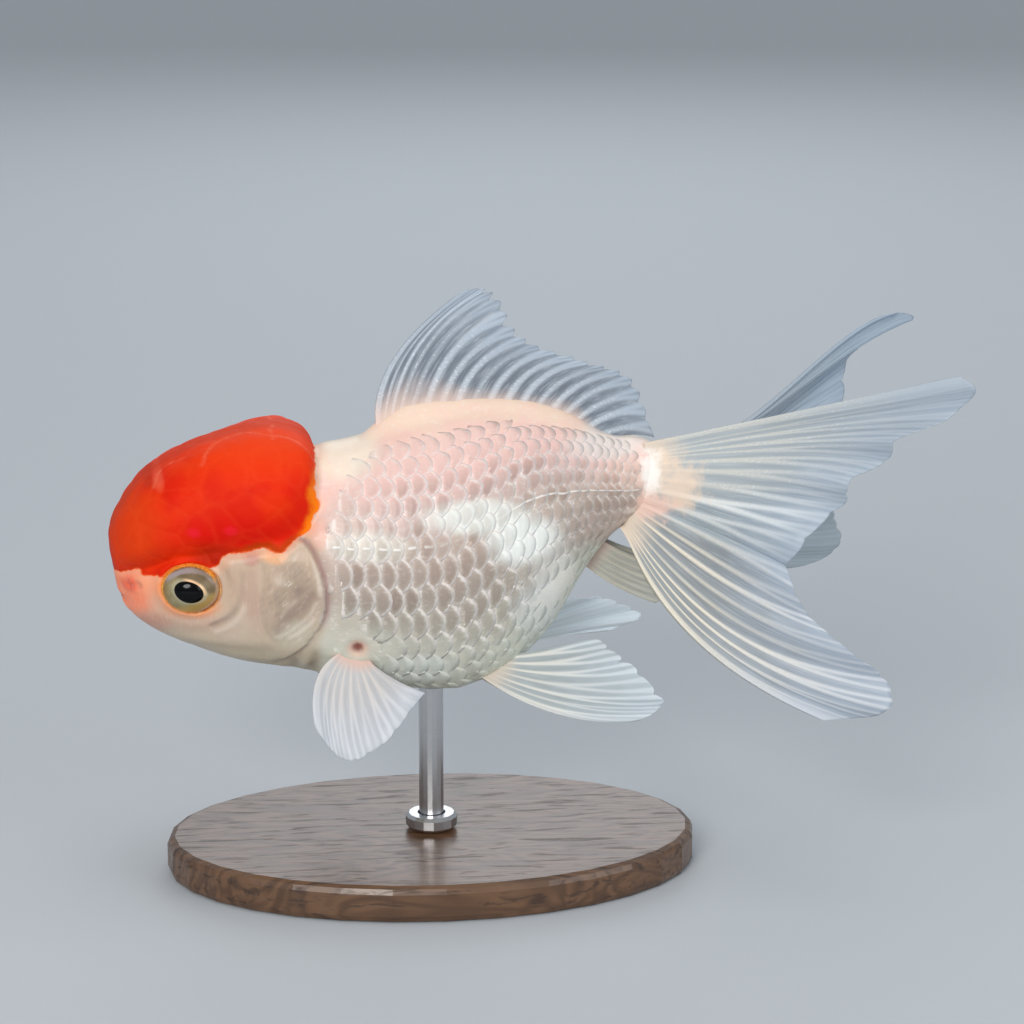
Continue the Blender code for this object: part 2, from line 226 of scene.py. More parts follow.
def build_room():
    scene = bpy.context.scene
    scene.view_settings.view_transform = "Standard"
    level = math.cos(CAMERA_RISE)
    away = Vector((math.sin(CAMERA_TURN) * level, -math.cos(CAMERA_TURN) * level, math.sin(CAMERA_RISE)))
    lens = bpy.data.cameras.new("camera")
    lens.sensor_width = SENSOR_WIDTH
    lens.lens = LENS_LENGTH
    camera = bpy.data.objects.new("camera", lens)
    camera.location = FISH_MIDDLE + away * CAMERA_DISTANCE
    camera.rotation_euler = (-away).to_track_quat("-Z", "Y").to_euler()
    scene.collection.objects.link(camera)
    scene.camera = camera

    paper = Finish("table_paper", roughness=0.85)
    # painted light: the table pales from its darker middle out to the wall, against the lamps' fall-off
    wallward = paper.rise(length(paper.axis("X"), paper.axis("Y")), 700, 3000)
    paper.set(base_color=paper.mix(wallward, TABLE_TONE, WALL_TONE))
    paper.set(normal=paper.bump(paper.noise(1.5, 4), 0.05, 0.3))
    top = bmesh.new()
    bmesh.ops.create_circle(top, segments=96, radius=TABLE_RADIUS / MM, cap_ends=True)
    rim = top.edges[:]
    for step in range(1, COVE_STEPS + 1):
        turn = math.pi / 2 * step / COVE_STEPS
        spread = (TABLE_RADIUS + COVE_RADIUS * math.sin(turn)) / MM
        height = COVE_RADIUS * (1 - math.cos(turn)) / MM
        raised = bmesh.ops.extrude_edge_only(top, edges=rim)["geom"]
        rim = [part for part in raised if isinstance(part, bmesh.types.BMEdge)]
        rim = [edge for edge in rim if all(v in raised for v in edge.verts)]
        for vert in (part for part in raised if isinstance(part, bmesh.types.BMVert)):
            outward = Vector((vert.co.x, vert.co.y, 0.0)).normalized()
            vert.co = outward * spread + Vector((0.0, 0.0, height))
    table = add_piece("table", top, paper)

    room = scene.world or bpy.data.worlds.new("room")
    scene.world = room
    room.use_nodes = True
    sky = room.node_tree.nodes["Background"]
    sky.inputs["Color"].default_value = (*ROOM_TONE, 1.0)
    sky.inputs["Strength"].default_value = SKY_STRENGTH
    add_lamp("key_lamp", (-0.28, -0.72, 0.40), 0.36, 4.3, (1.0, 0.98, 0.95))
    add_lamp("top_lamp", (0.05, 0.05, 0.80), 0.60, 0.9, (1.0, 1.0, 1.0))
    add_lamp("side_lamp", (0.60, -0.45, 0.30), 0.50, 1.4, (0.94, 0.97, 1.0))
    add_lamp("back_lamp", (0.10, 0.70, 0.45), 0.50, 1.2, (0.94, 0.97, 1.0))


build_room()


# The skin: one soft closed sheet over the head, the red hood, the trunk and the tail stalk. Its
# rings start round the mouth and end at the tail's root, and the face's folds are pressed into it.

FLESH = ("head", "hood", "lower_jaw", "gill_cover_left", "gill_cover_right", "trunk", "tail_stalk")
COLUMNS = 300
HEAD_RINGS, NECK_RINGS, TRUNK_RINGS, TAIL_RINGS = 100, 60, 86, 16
HEAD_CENTRE, TAIL_CENTRE = (-34.0, 54.0), (32.0, 63.0)  # x and z
SPINE = ((-34.0, 54.0), (-16.0, 53.5), (4.0, 53.5), (20.0, 58.0), (32.0, 63.0))
NECK_X = -16.0  # the skin's rings are closer ahead of it
MOUTH_TILT = math.radians(22)  # of the mouth's axis, below level
CAST_FROM = 70.0  # rays start this far out, past all flesh

EYE_MIDDLE = (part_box("eye_left")[0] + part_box("eye_left")[1]) / 2 / MM
EYE_RADIUS = (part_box("eye_left")[1].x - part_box("eye_left")[0].x) / 2 / MM
EYE_BED = 5.4  # flesh is carried across the eye's opening out to this radius
EYE_SIDE = 5.0  # an eye's opening lies further from the middle plane than this
HOOD_OFF_EYE = 4.55  # how near the hood comes to the eye's middle
HEAD_BLUR, TRUNK_BLUR = 3.4, 5.5  # in places of the grid
COAT_DEPTH = 0.09  # of the scales over the skin
DRAW_REACH = 4  # in places of the grid, over which the skin is drawn in
GROOVE = 8  # half the widest groove that the skin bridges, in places of the grid
EYE_SPARED, FOOT_SPARED = (5.5, 9.0), (0.1, 0.6)  # drawn in from none to all: by eye and fin foot
CUT = 2  # half the widest cut between solids that the skin closes, in places of the grid
BLUR_CHANGE = (-20.0, -12.0)  # x, from the head's blur to the trunk's

LATERAL_LINE = ((-18.0, 57.7), (-8.0, 57.3), (0.3, 57.6), (4.5, 59.0), (9.8, 61.5), (13.1, 63.4),
                (16.4, 64.3), (23.0, 64.5), (29.8, 63.4), (36.0, 62.8))
HOOD_EDGE = ((-54.0, 52.0), (-49.6, 51.7), (-48.3, 52.2), (-46.9, 52.9), (-45.4, 52.2),
             (-43.8, 52.5), (-42.6, 52.4), (-41.0, 53.6), (-38.2, 54.4), (-35.2, 54.2),
             (-34.0, 54.8), (-33.0, 55.9), (-30.7, 56.9), (-27.3, 57.3), (-24.5, 57.0),
             (-23.0, 57.9), (-21.5, 59.4), (-20.0, 60.6), (-19.3, 62.6), (-18.1, 64.2),
             (-18.8, 66.6), (-18.6, 69.5), (-18.3, 74.0), (-18.3, 90.0), (-54.0, 90.0))
GILL_SLIT = ((-22.6, 59.6), (-20.4, 58.0), (-18.7, 54.8), (-17.7, 50.6), (-18.0, 46.4),
             (-19.4, 43.4), (-21.8, 40.2), (-25.6, 37.4), (-31.0, 35.6))
GILL_RIM = ((-21.0, 59.2), (-19.9, 57.0), (-19.1, 54.5), (-18.6, 52.0), (-18.5, 50.4))
PREOPERCLE = ((-27.2, 55.0), (-27.0, 53.2), (-27.4, 50.0), (-27.4, 46.6), (-26.8, 44.0), (-25.6, 42.4))
GILL_RIDGES = (
    ((-19.1, 49.0), (-19.9, 47.2), (-21.1, 45.7), (-22.4, 44.6), (-23.9, 43.6), (-25.6, 42.8)),
    ((-19.4, 46.3), (-20.6, 44.9), (-21.7, 43.9), (-23.2, 42.9)),
    ((-22.2, 49.4), (-23.6, 48.2), (-24.4, 46.9)),
)
GILL_VALLEY = ((-19.6, 50.1), (-21.6, 48.0), (-23.9, 46.1), (-25.1, 44.4))
CHEEK_FOLD = ((-30.5, 53.4), (-30.6, 51.6), (-30.8, 50.2), (-31.2, 48.5), (-32.0, 47.0),
              (-33.2, 45.7), (-35.2, 44.5))
CHEEK_RIDGE = ((-30.5, 47.8), (-31.2, 46.2), (-32.5, 44.6), (-34.6, 43.3))
CHEEK_BAND = ((-32.6, 55.5), (-32.2, 52.0), (-32.4, 49.0))
CROWN_FOLDS = (  # seen from above: x and distance from the middle
    ((-38.9, 5.2), (-41.8, 4.0), (-43.0, 4.8), (-43.6, 6.2), (-43.9, 7.1)),
    ((-36.1, 9.0), (-35.2, 7.2), (-34.2, 5.3), (-32.0, 4.0), (-30.1, 3.2), (-27.6, 4.2),
     (-25.2, 5.8), (-22.7, 6.1), (-20.6, 7.7), (-19.4, 8.7)),
    ((-24.8, 1.7), (-25.3, 4.0), (-25.1, 6.8)),
)
HEAD_SWELLS = (  # middle x and z, reach along x and z, and height
    (-50.5, 61.5, 5.0, 4.5, -0.60),
    (-51.0, 56.0, 3.0, 2.5, -0.25),
    (-36.5, 71.5, 8.0, 5.0, 0.42),
    (-19.6, 74.0, 2.4, 2.6, 0.60),
    (-50.5, 51.6, 2.5, 1.6, 0.75),
    (-49.5, 47.4, 2.5, 1.7, -0.60),
    (-36.0, 41.6, 8.5, 1.6, 0.45),
    (-20.4, 37.6, 1.2, 1.8, 0.90),
)
DORSAL_FOOT = (  # x, and height of the flesh at the fin's foot
    (-11.0, 0.0), (-8.5, 1.2), (-3.5, 2.5), (3.0, 2.0), (9.0, 1.6), (16.0, 1.6),
    (20.6, 1.2), (24.0, 0.6), (27.0, -0.4), (30.0, -1.3), (33.0, -1.1), (36.0, -0.4),
)
MOUTH_Z, MOUTH_HALF = 47.3, 3.2
NOSTRILS = ((-48.1, 50.2), (-46.9, 50.5))
EYE_SHAPE = 1.16  # how much longer than tall an eye's opening is
SCALED_FROM = (  # x, and the lowest z that has strong scales
    (-18.0, 45.5), (-13.8, 44.6), (-4.0, 43.0), (1.0, 40.5), (6.4, 40.0), (9.5, 41.5),
    (12.0, 44.5), (16.0, 48.5), (22.0, 53.0), (28.0, 57.0), (36.0, 59.5),
)
HAZES = (  # where the scales hardly show: middle x and z, reach along x and z, and strength
    (18.0, 51.0, 6.0, 7.0, 0.65),
    (27.5, 58.0, 8.0, 4.0, 0.65),
    (14.0, 58.0, 6.5, 4.0, 0.60),
    (4.0, 62.0, 9.0, 3.0, 0.40),
    (-13.5, 66.5, 4.5, 6.0, 0.55),
)
PECTORAL_PIT = (-12.6, 40.7)
# Dark spots of the skin itself, on the gill cover and the shoulder
GILL_DARK_SPOTS = (  # middle x and z, size and strength
    (-21.7, 51.0, 0.9, 0.9),
    (-16.8, 60.4, 0.7, 0.7),
    (-16.3, 59.0, 0.6, 0.7),
    (-16.5, 57.4, 0.6, 0.6),
    (-15.0, 54.6, 0.9, 0.5),
)
# Painted highlights on the gill cover: middle x and z, size and strength
GILL_HIGHLIGHTS = ((-24.7, 52.5, 0.6, 0.5), (-17.3, 52.4, 0.5, 0.9))
FILM_PASSES = 700  # until the film over a socket lies still
CURVE_STEPS = 6  # between two points of a drawn line
FRONT_POINT, BACK_POINT = 0.02, 0.4  # the skin's ends, in steps between rings past the last ring


def spline(a, b, c, d, share):
    """A smooth curve from b to c that heads on to its neighbours a and d."""
    bend = 2 * a - 5 * b + 4 * c - d + share * (3 * (b - c) + d - a)
    return b + 0.5 * share * (c - a + share * bend)


def curved(points):
    """A smooth line through the points, as rows of its two coordinates."""
    keys = np.array([points[0], *points, points[-1]])
    shares = np.linspace(0, 1, CURVE_STEPS, endpoint=False)[:, None]
    parts = [spline(*keys[i:i + 4], shares) for i in range(len(points) - 1)]
    return np.vstack([*parts, keys[-1:]])


def line_distance(x, z, line):
    """Distance of each place to a line in side view, and on which side it lies."""
    nearest = np.full(x.shape, 1e9)
    side = np.ones(x.shape)
    for (ax, az), (bx, bz) in zip(line, line[1:]):
        dx, dz = bx - ax, bz - az
        t = np.clip(((x - ax) * dx + (z - az) * dz) / (dx * dx + dz * dz), 0, 1)
        gap = np.hypot(x - ax - t * dx, z - az - t * dz)
        closer = gap < nearest
        side = np.where(closer, np.sign((z - az) * dx - (x - ax) * dz), side)
        nearest = np.where(closer, gap, nearest)
    return nearest, side


def inside(x, z, outline):
    """Whether each place is inside a closed outline in side view."""
    found = np.zeros(x.shape, bool)
    for (ax, az), (bx, bz) in zip(outline, np.roll(outline, -1, axis=0)):
        if az == bz:
            continue
        found ^= ((az > z) != (bz > z)) & (x < (bx - ax) * (z - az) / (bz - az) + ax)
    return found


def slope(value, low, high):
    """0 below low and 1 above high, with a soft slope between."""
    t = np.clip((value - low) / (high - low), 0, 1)
    return t * t * (3 - 2 * t)


def bell(value, width):
    return np.exp(-((value / width) ** 2))


def read_off(x, table):
    """The values at x on straight lines between a table's pairs."""
    return np.interp(x, *np.array(table).T)


def mottle(places, size, seed=0.0):
    """Soft random height at each place, from about -1 to 1."""
    return np.array([noise.noise(Vector(p) / size + Vector((seed, 0, 0))) for p in places])


def skin_rings():
    """Origin, tilt and opening angle of each ring of rays, from the mouth to the tail root."""
    rings = []
    for step in range(1, HEAD_RINGS + 1):
        share = step / HEAD_RINGS
        rings.append((HEAD_CENTRE, MOUTH_TILT * (1 - share), math.pi / 2 * share))
    neck = np.linspace(HEAD_CENTRE[0], NECK_X, NECK_RINGS + 1)[1:]
    trunk = np.linspace(NECK_X, TAIL_CENTRE[0], TRUNK_RINGS + 1)[1:]
    for x in (*neck, *trunk):
        rings.append(((x, read_off(x, SPINE)), 0.0, math.pi / 2))
    for step in range(1, TAIL_RINGS + 1):
        rings.append((TAIL_CENTRE, 0.0, math.pi / 2 * (1 + step / (TAIL_RINGS + 1))))
    return rings


def ray_directions(tilt, opening, angles):
    """Directions of one ring's rays, at angles round the body from +Y."""
    axis = np.array((-math.cos(tilt), 0.0, -math.sin(tilt)))
    up = np.array((-math.sin(tilt), 0.0, math.cos(tilt)))
    across = np.cos(angles)[:, None] * np.array((0.0, 1.0, 0.0)) + np.sin(angles)[:, None] * up
    return math.cos(opening) * axis + math.sin(opening) * across


def cast_in(tree, origin, direction):
    """How far out from the origin the flesh reaches along a ray that misses the thin cuts."""
    start = Vector(origin) + Vector(direction) * CAST_FROM
    _, _, _, distance = tree.ray_cast(start * MM, -Vector(direction))
    return math.nan if distance is None else CAST_FROM - distance / MM


def wrapped(values, margin):
    """The rings with a margin all round: across each pole, and round each ring."""
    half = COLUMNS // 2
    before = np.roll(values[:margin][::-1], half, axis=1)
    after = np.roll(values[-margin:][::-1], half, axis=1)
    return np.pad(np.vstack([before, values, after]), ((0, 0), (margin, margin)), mode="wrap")


def levelled(values, reach):
    """The middle value of each place's neighbours, which closes narrow gaps."""
    wide = wrapped(values, reach)
    rows, columns = values.shape
    span = range(2 * reach + 1)
    return np.nanmedian([wide[i:i + rows, j:j + columns] for i in span for j in span], axis=0)


def merged(values, reach, merge):
    """The rings merged with their neighbours, first along the body and then round it."""
    wide = wrapped(values, reach)
    rows, columns = values.shape
    tall = merge([wide[i:i + rows] for i in range(2 * reach + 1)])
    return merge([tall[:, j:j + columns] for j in range(2 * reach + 1)])


def widest(values, reach):
    """The greatest value among each place's neighbours."""
    return merged(values, reach, lambda parts: np.max(parts, axis=0))


def softened(values, spread):
    """A Gaussian blur over the rings, with its spread as a number of places."""
    margin = int(3 * spread)
    weights = np.exp(-0.5 * (np.arange(-margin, margin + 1) / spread) ** 2)
    weights /= weights.sum()
    return merged(values, margin, lambda parts: sum(w * part for w, part in zip(weights, parts)))


def carried_across(values, opening):
    """Fills an opening from its edges, as a soap film does."""
    for _ in range(FILM_PASSES):
        wide = wrapped(values, 1)
        film = (wide[:-2, 1:-1] + wide[2:, 1:-1] + wide[1:-1, :-2] + wide[1:-1, 2:]) / 4
        values = np.where(opening, film, values)
    return values


def grid_normals(grid):
    """Outward normals of a grid of places, rings by columns."""
    along = np.gradient(grid, axis=0)
    around = (np.roll(grid, -1, axis=1) - np.roll(grid, 1, axis=1)) / 2
    normals = np.cross(around, along)
    return normals / np.maximum(np.linalg.norm(normals, axis=2, keepdims=True), 1e-9)


def body_height(grid):
    """0 on the lateral line, 1 along the back and -1 along the belly."""
    level = read_off(grid[..., 0], LATERAL_LINE)
    top = grid[..., 2].max(axis=1, keepdims=True)
    bottom = grid[..., 2].min(axis=1, keepdims=True)
    above = (grid[..., 2] - level) / np.maximum(top - level, 1.0)
    below = (grid[..., 2] - level) / np.maximum(level - bottom, 1.0)
    return np.clip(np.where(grid[..., 2] > level, above, below), -1, 1)


class Sculpt:
    """Where each place of the skin lies, and how far the folds of the face move it."""

    def __init__(self, grid):
        self.x, self.y, self.z = grid[..., 0], grid[..., 1], grid[..., 2]
        self.flat = grid.reshape(-1, 3)
        wander = self.stray(1.7) * 0.5 + self.stray(0.7, 7) * 0.18
        edge, _ = line_distance(self.x, self.z, curved(HOOD_EDGE))
        red = inside(self.x, self.z, curved(HOOD_EDGE))
        self.eye = np.hypot(self.x - EYE_MIDDLE.x, (self.z - EYE_MIDDLE.z) * EYE_SHAPE)
        self.eye[np.abs(self.y) < EYE_SIDE] = 99.0
        self.cap = np.minimum(np.where(red, edge, -edge) + wander, 1.5 * (self.eye - HOOD_OFF_EYE))
        gap, side = line_distance(self.x, self.z, curved(GILL_SLIT))
        self.slit = gap * side  # positive behind the slit
        self.height = body_height(grid)
        self.foot = bell(self.y, 2.3) * read_off(self.x, DORSAL_FOOT) * (self.z > 60)
        self.flank = slope(np.abs(self.y), 5.0, 9.0)
        self.show = self.scaled()

    def scaled(self):
        """How strongly the scales show, from 0 where there are none to 1."""
        late = self.x - 0.35 * np.maximum(0.0, self.z - 60.0)  # scales start further back above
        show = slope(late, -19.8, -15.0)
        show *= 1 - 0.60 * slope(self.height, 0.50, 0.80)
        for *oval, strength in HAZES:
            show *= 1 - strength * bell(self.gap(*oval), 0.9)
        show *= 0.20 + 0.80 * slope(self.z - read_off(self.x, SCALED_FROM), -0.8, 3.0)
        show *= slope(self.gap(*PECTORAL_PIT), 1.8, 3.0)
        show *= slope(np.minimum(self.slit, -self.cap), 0.3, 1.6) * (1 - slope(self.height, 0.86, 0.97))
        show *= 1 - slope(self.foot, 0.3, 0.8)
        return show * (1 - slope(self.x + 1.6 * self.stray(1.5, 21), 31.0, 35.0))

    def stray(self, size, seed=0.0):
        """Soft random height over the skin, from about -1 to 1."""
        return mottle(self.flat, size, seed).reshape(self.x.shape)

    def gap(self, x, z, long=1.0, tall=1.0):
        """Distance from a place in side view, or its share of an oval's reach."""
        return np.hypot((self.x - x) / long, (self.z - z) / tall)

    def near(self, line, width):
        return bell(line_distance(self.x, self.z, curved(line))[0], width) * self.flank

    def profile(self):
        """Broad swells and hollows of the head, and the thick foot of the dorsal fin."""
        return self.foot + sum(height * bell(self.gap(*oval), 1.0) for *oval, height in HEAD_SWELLS)

    def hood(self):
        """Low lobes of the hood with faint creases between them, and its thick edge."""
        on = slope(self.cap, 0.0, 1.3)
        lobes = np.zeros(self.x.shape)
        for index in np.nonzero(self.cap.ravel() > -0.5)[0]:
            near = noise.voronoi(Vector(self.flat[index] * (0.8, 1.0, 1.0)) / 4.6 + Vector((3, 1, 2)))[0]
            lobes.flat[index] = near[1] - near[0]
        self.crease_lines = bell(lobes, 0.08) * on
        gaps = [line_distance(self.x, np.abs(self.y), curved(line))[0] for line in CROWN_FOLDS]
        self.folds = bell(np.min(gaps, axis=0), 0.30) * slope(self.z, 60.0, 64.0)
        swell = slope(lobes, 0.0, 0.45) * 0.10 + self.stray(0.9, 3) * 0.03
        return on * (0.35 + swell) - 0.08 * self.folds * on

    def gill_cover(self):
        s = self.slit
        reach = self.flank * slope(self.z, 34.5, 38.0)
        lasting = 0.15 + 0.85 * slope(self.z, 42.0, 47.5)
        rim = np.where(s < 0, slope(s, -3.5, -0.4) * 0.36, 0.0)
        drop = np.where(s >= 0, -0.40 * bell(s - 0.35, 0.8) * lasting, 0.0)
        ahead = slope(-s, 0.0, 0.6)
        under_hood = slope(-self.cap, -0.3, 0.8)
        bone = slope(self.x, -27.0, -25.6) * ahead * 0.10
        fold = self.near(PREOPERCLE, 0.5)
        ridges = sum(self.near(line, 0.30) * part for line, part in zip(GILL_RIDGES, (0.8, 1.0, 0.4)))
        # painted shade down in the gill slit
        self.slit_shade = bell(s - 0.40, 0.42) * reach * slope(-self.cap, -0.4, 0.6) * lasting
        # painted shade in the gill cover's valley and along the preopercle's fold, with the dark spots
        # added
        self.gill_shade_and_spots = np.maximum(0.60 * self.near(GILL_VALLEY, 1.0), 0.25 * fold)
        # painted highlights on the gill cover's ridges and along its rim
        self.gill_highlights = np.maximum(ridges, 0.8 * self.near(GILL_RIM, 0.35) * ahead)
        for field, spots in ((self.gill_shade_and_spots, GILL_DARK_SPOTS), (self.gill_highlights, GILL_HIGHLIGHTS)):
            for x, z, size, part in spots:
                np.maximum(field, part * bell(self.gap(x, z), size) * self.flank, out=field)
        relief = (rim + drop) * reach + bone - 0.14 * fold - 0.12 * self.near(GILL_VALLEY, 0.9)
        return relief * under_hood + 0.10 * ridges * ahead

    def cheek(self):
        groove, ridge = self.near(CHEEK_FOLD, 0.55), self.near(CHEEK_RIDGE, 0.55)
        deeper = 1 - 0.6 * slope(self.z, 46.0, 50.0)
        # painted shade in the cheek's groove, strongest low down
        self.cheek_shade = groove * deeper
        # painted highlight along the ridge beside the cheek's groove
        self.cheek_highlights = 0.6 * ridge
        puff = 0.2 * bell(self.gap(-42.5, 46.0), 4.0) * self.flank
        band = 0.14 * self.near(CHEEK_BAND, 0.8)
        return 0.18 * ridge - 0.34 * groove * deeper + puff + band

    def eye_ring(self):
        """The skin dips under the eye, and stands round it in a low soft ring."""
        rearward = self.x - EYE_MIDDLE.x
        level = -(0.04 * rearward + 0.17 * np.maximum(0, rearward)) * bell(self.eye - 4.4, 1.9)
        hugged = self.eye + 0.35 * slope(rearward, -1.0, 3.5)  # closer to the ball at the rear
        dip = -0.5 * slope(-self.eye, -4.8, -4.2) - 2.8 * slope(-hugged, -4.25, -3.5)
        ring = 0.26 * bell(self.eye - 4.85, 0.5)
        moat = -0.16 * bell(self.eye - 6.2, 0.8)
        return dip + (level + ring + moat) * np.where(self.eye < 20, 1, 0)

    def mouth(self):
        front = slope(-self.x, 44.5, 47.5)
        line = MOUTH_Z - 0.05 * self.y ** 2
        across = slope(-np.abs(self.y), -MOUTH_HALF - 0.3, -MOUTH_HALF + 0.5)
        # the gape is cut in as a groove and also given painted shade
        self.gape = bell(self.z - line, 0.30) * across * front
        lips = (bell(self.z - line - 0.95, 0.55) + bell(self.z - line + 0.85, 0.5)) * front
        lips *= slope(-np.abs(self.y), -MOUTH_HALF - 1.0, -MOUTH_HALF + 0.8)
        oval = np.hypot(self.y / 4.9, (self.z - MOUTH_Z) / 2.9)
        fold = bell(oval - 1.0, 0.13) * front
        return 0.14 * lips - 0.70 * self.gape - 0.06 * fold

    def nostrils(self):
        total = np.zeros(self.x.shape)
        self.pits = np.zeros(self.x.shape)
        side_on = slope(np.abs(self.y), 2.5, 3.6)
        for (x, z), size in zip(NOSTRILS, (0.42, 0.55)):
            gap = self.gap(x, z)
            pit = bell(gap, size) * side_on
            total += 0.10 * bell(gap - size * 1.9, 0.35) * side_on - 0.45 * pit
            # each nostril's pit is also given painted shade
            self.pits = np.maximum(self.pits, pit)
        return total

    def pectoral_pit(self):
        gap = self.gap(*PECTORAL_PIT)
        # the pit is dented, and also given painted shade
        self.pit = bell(gap, 1.3) * self.flank
        return 0.25 * bell(gap - 2.2, 0.8) * self.flank - 0.7 * self.pit

    def vent(self):
        # the vent is dented, and its dent is given painted shade
        self.vent_dark = bell(np.hypot(self.x - 20.5, self.y * 1.4), 1.0) * slope(-self.z, -46, -42)
        return -0.4 * self.vent_dark

    def total(self):
        moved = self.profile() + self.hood() + self.gill_cover() + self.cheek() + self.eye_ring()
        moved += self.mouth() + self.nostrils() + self.pectoral_pit() + self.vent()
        moved += self.stray(1.4, 11) * 0.03
        return moved - COAT_DEPTH * slope(self.show, 0.0, 0.3)


def placed(origins, directions, reach):
    """The grid of places that far out along the rays."""
    return origins[:, None] + directions * reach[..., None]


def cast_all(tree, origins, directions):
    """How far out the flesh reaches along every ray, over the cuts between solids and the sockets."""
    reach = np.array([[cast_in(tree, o, d) for d in ring] for o, ring in zip(origins, directions)])
    reach = levelled(reach, CUT)
    grid = placed(origins, directions, reach)
    gap = np.hypot(grid[..., 0] - EYE_MIDDLE.x, grid[..., 2] - EYE_MIDDLE.z)
    return carried_across(reach, (gap < EYE_BED) & (np.abs(grid[..., 1]) > EYE_SIDE))


def drawn_in(tree, origins, grid, sculpt):
    """The sculpted grid, drawn in smoothly to lie inside the solids by the coat's depth.

    Grooves between the solids are bridged, as the skin runs over them.
    """
    out = grid - origins[:, None]
    far = np.linalg.norm(out, axis=2)
    ways = out / far[..., None]
    limit = -widest(-widest(cast_all(tree, origins, ways), GROOVE), GROOVE)
    over = np.maximum(0.0, far + COAT_DEPTH - limit)
    over *= slope(sculpt.eye, *EYE_SPARED) * (1 - slope(sculpt.foot, *FOOT_SPARED))
    return grid - ways * softened(widest(over, DRAW_REACH), DRAW_REACH / 2)[..., None]


def cast_skin():
    """The grid of places of the skin, its two end points, and its sculpting."""
    joined = bmesh.new()
    for name in FLESH:
        joined.from_mesh(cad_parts[name].data)
    tree = BVHTree.FromBMesh(joined)
    joined.free()
    angles = np.arange(COLUMNS) * 2 * math.pi / COLUMNS
    rings = skin_rings()
    origins = np.array([(x, 0.0, z) for (x, z), _, _ in rings])
    directions = np.array([ray_directions(tilt, opening, angles) for _, tilt, opening in rings])
    reach = cast_all(tree, origins, directions)
    fine, broad = softened(reach, HEAD_BLUR), softened(reach, TRUNK_BLUR)
    rearward = slope(placed(origins, directions, reach)[..., 0], *BLUR_CHANGE)
    grid = placed(origins, directions, fine * (1 - rearward) + broad * rearward)
    sculpt = Sculpt(grid)
    grid = grid + grid_normals(grid) * sculpt.total()[..., None]
    grid = drawn_in(tree, origins, grid, sculpt)
    middles = grid.mean(axis=1)
    front = middles[0] + (middles[0] - middles[1]) * FRONT_POINT
    back = middles[-1] + (middles[-1] - middles[-2]) * BACK_POINT
    return grid, front, back, sculpt


def keep_values(mesh, name, values):
    """Writes one number at each vertex, for the materials to read."""
    layer = mesh.attributes.new(name, "FLOAT", "POINT")
    layer.data.foreach_set("value", np.ascontiguousarray(values, np.float32).ravel())


def oval(x, z, middle, reach):
    """How far out a place lies in an oval: 0 at its middle and 1 at its edge."""
    return length((x - middle[0]) / reach[0], (z - middle[1]) / reach[1])


def patched(finish, tone, places, stray, fade, *patches):
    """A tone under soft ovals, each with its middle, its reach, its strength and its colour."""
    for middle, reach, strength, colour in patches:
        share = finish.fall(oval(*places, middle, reach) + stray, *fade)
        tone = finish.mix(share * strength, tone, colour)
    return tone


def root_marks(finish, tone):
    """The white and peach patches over the tail's root, which run on from the stalk to the fins. The white
    patch also carries a painted highlight.
    """
    ragged = (finish.noise(2.4, 5, 0.65) - 0.5) * 2.2
    return patched(
        finish, tone, (finish.axis("X"), finish.axis("Z")), ragged, (0.35, 1.30),
        ((39.0, 64.6), (4.2, 4.6), 0.75, (0.86, 0.66, 0.50)),
        ((35.0, 60.6), (3.4, 2.6), 0.80, (0.84, 0.56, 0.46)),
        # the white blotch: the skin's own white, brightened further as a painted highlight
        ((35.0, 66.0), (1.8, 3.6), 0.85, (0.94, 0.90, 0.85)),
        ((31.6, 59.8), (1.2, 0.7), 0.60, (0.92, 0.80, 0.70)),
    )


def body_tone(finish):
    """The colour that skin and scales share: white, pearl and pink, darker below, with a painted silvery
    sheen and painted pale streaks of reflection on the flank.
    """
    places = finish.axis("X"), finish.axis("Z")
    drift, fine = finish.noise(7.0, 3) - 0.5, finish.noise(1.3, 3) - 0.5
    level = finish.attribute("height") + drift * 0.30 + fine * 0.10
    tone = finish.ramp(level * 0.5 + 0.5, [
        (0.00, (0.72, 0.74, 0.62)),
        (0.16, (0.60, 0.58, 0.49)),
        (0.34, (0.48, 0.40, 0.34)),
        (0.50, (0.60, 0.46, 0.39)),
        (0.64, (0.74, 0.54, 0.49)),
        (0.78, (0.88, 0.57, 0.51)),
        (0.94, (0.88, 0.58, 0.50)),
        (1.00, (0.86, 0.66, 0.52)),
    ])
    ragged, fade = drift * 0.5 + fine * 0.25, (0.55, 1.25)
    tone = patched(
        finish, tone, places, ragged, fade,
        ((-14.5, 71.0), (6.0, 4.2), 0.85, (0.86, 0.76, 0.62)),
        ((-14.5, 60.0), (4.5, 6.5), 0.60, (0.66, 0.50, 0.43)),
        # painted sheen: the next two near-white patches, over the scales' own pale silver along the
        # mid-flank
        ((6.5, 62.0), (9.0, 2.8), 0.85, (0.93, 0.94, 0.86)),
        ((14.0, 58.0), (6.5, 4.0), 0.90, (0.98, 0.99, 0.93)),
        ((19.0, 52.5), (4.0, 5.0), 0.60, (0.80, 0.78, 0.72)),
        ((16.0, 46.5), (4.5, 5.0), 0.50, (0.74, 0.75, 0.73)),
        ((-11.0, 57.8), (6.5, 2.6), 0.65, (0.92, 0.88, 0.77)),
        ((28.5, 71.0), (8.0, 2.6), 0.75, (0.86, 0.78, 0.72)),
        ((28.5, 58.5), (7.5, 4.2), 0.80, (0.50, 0.38, 0.33)),
    )
    # painted reflections: pale streaks over the flank
    streaks = finish.rise(finish.noise(1.0, 4, 0.6, finish.place((1.2, 1.0, 0.5))), 0.52, 0.72)
    tone = finish.mix(streaks * 0.28, tone, (0.93, 0.86, 0.79))
    tone = patched(
        finish, tone, places, ragged, fade,
        ((30.5, 66.0), (5.5, 2.6), 0.60, (0.86, 0.60, 0.49)),
        ((-3.0, 37.0), (6.0, 3.0), 0.50, (0.80, 0.82, 0.76)),
    )
    return root_marks(finish, tone)


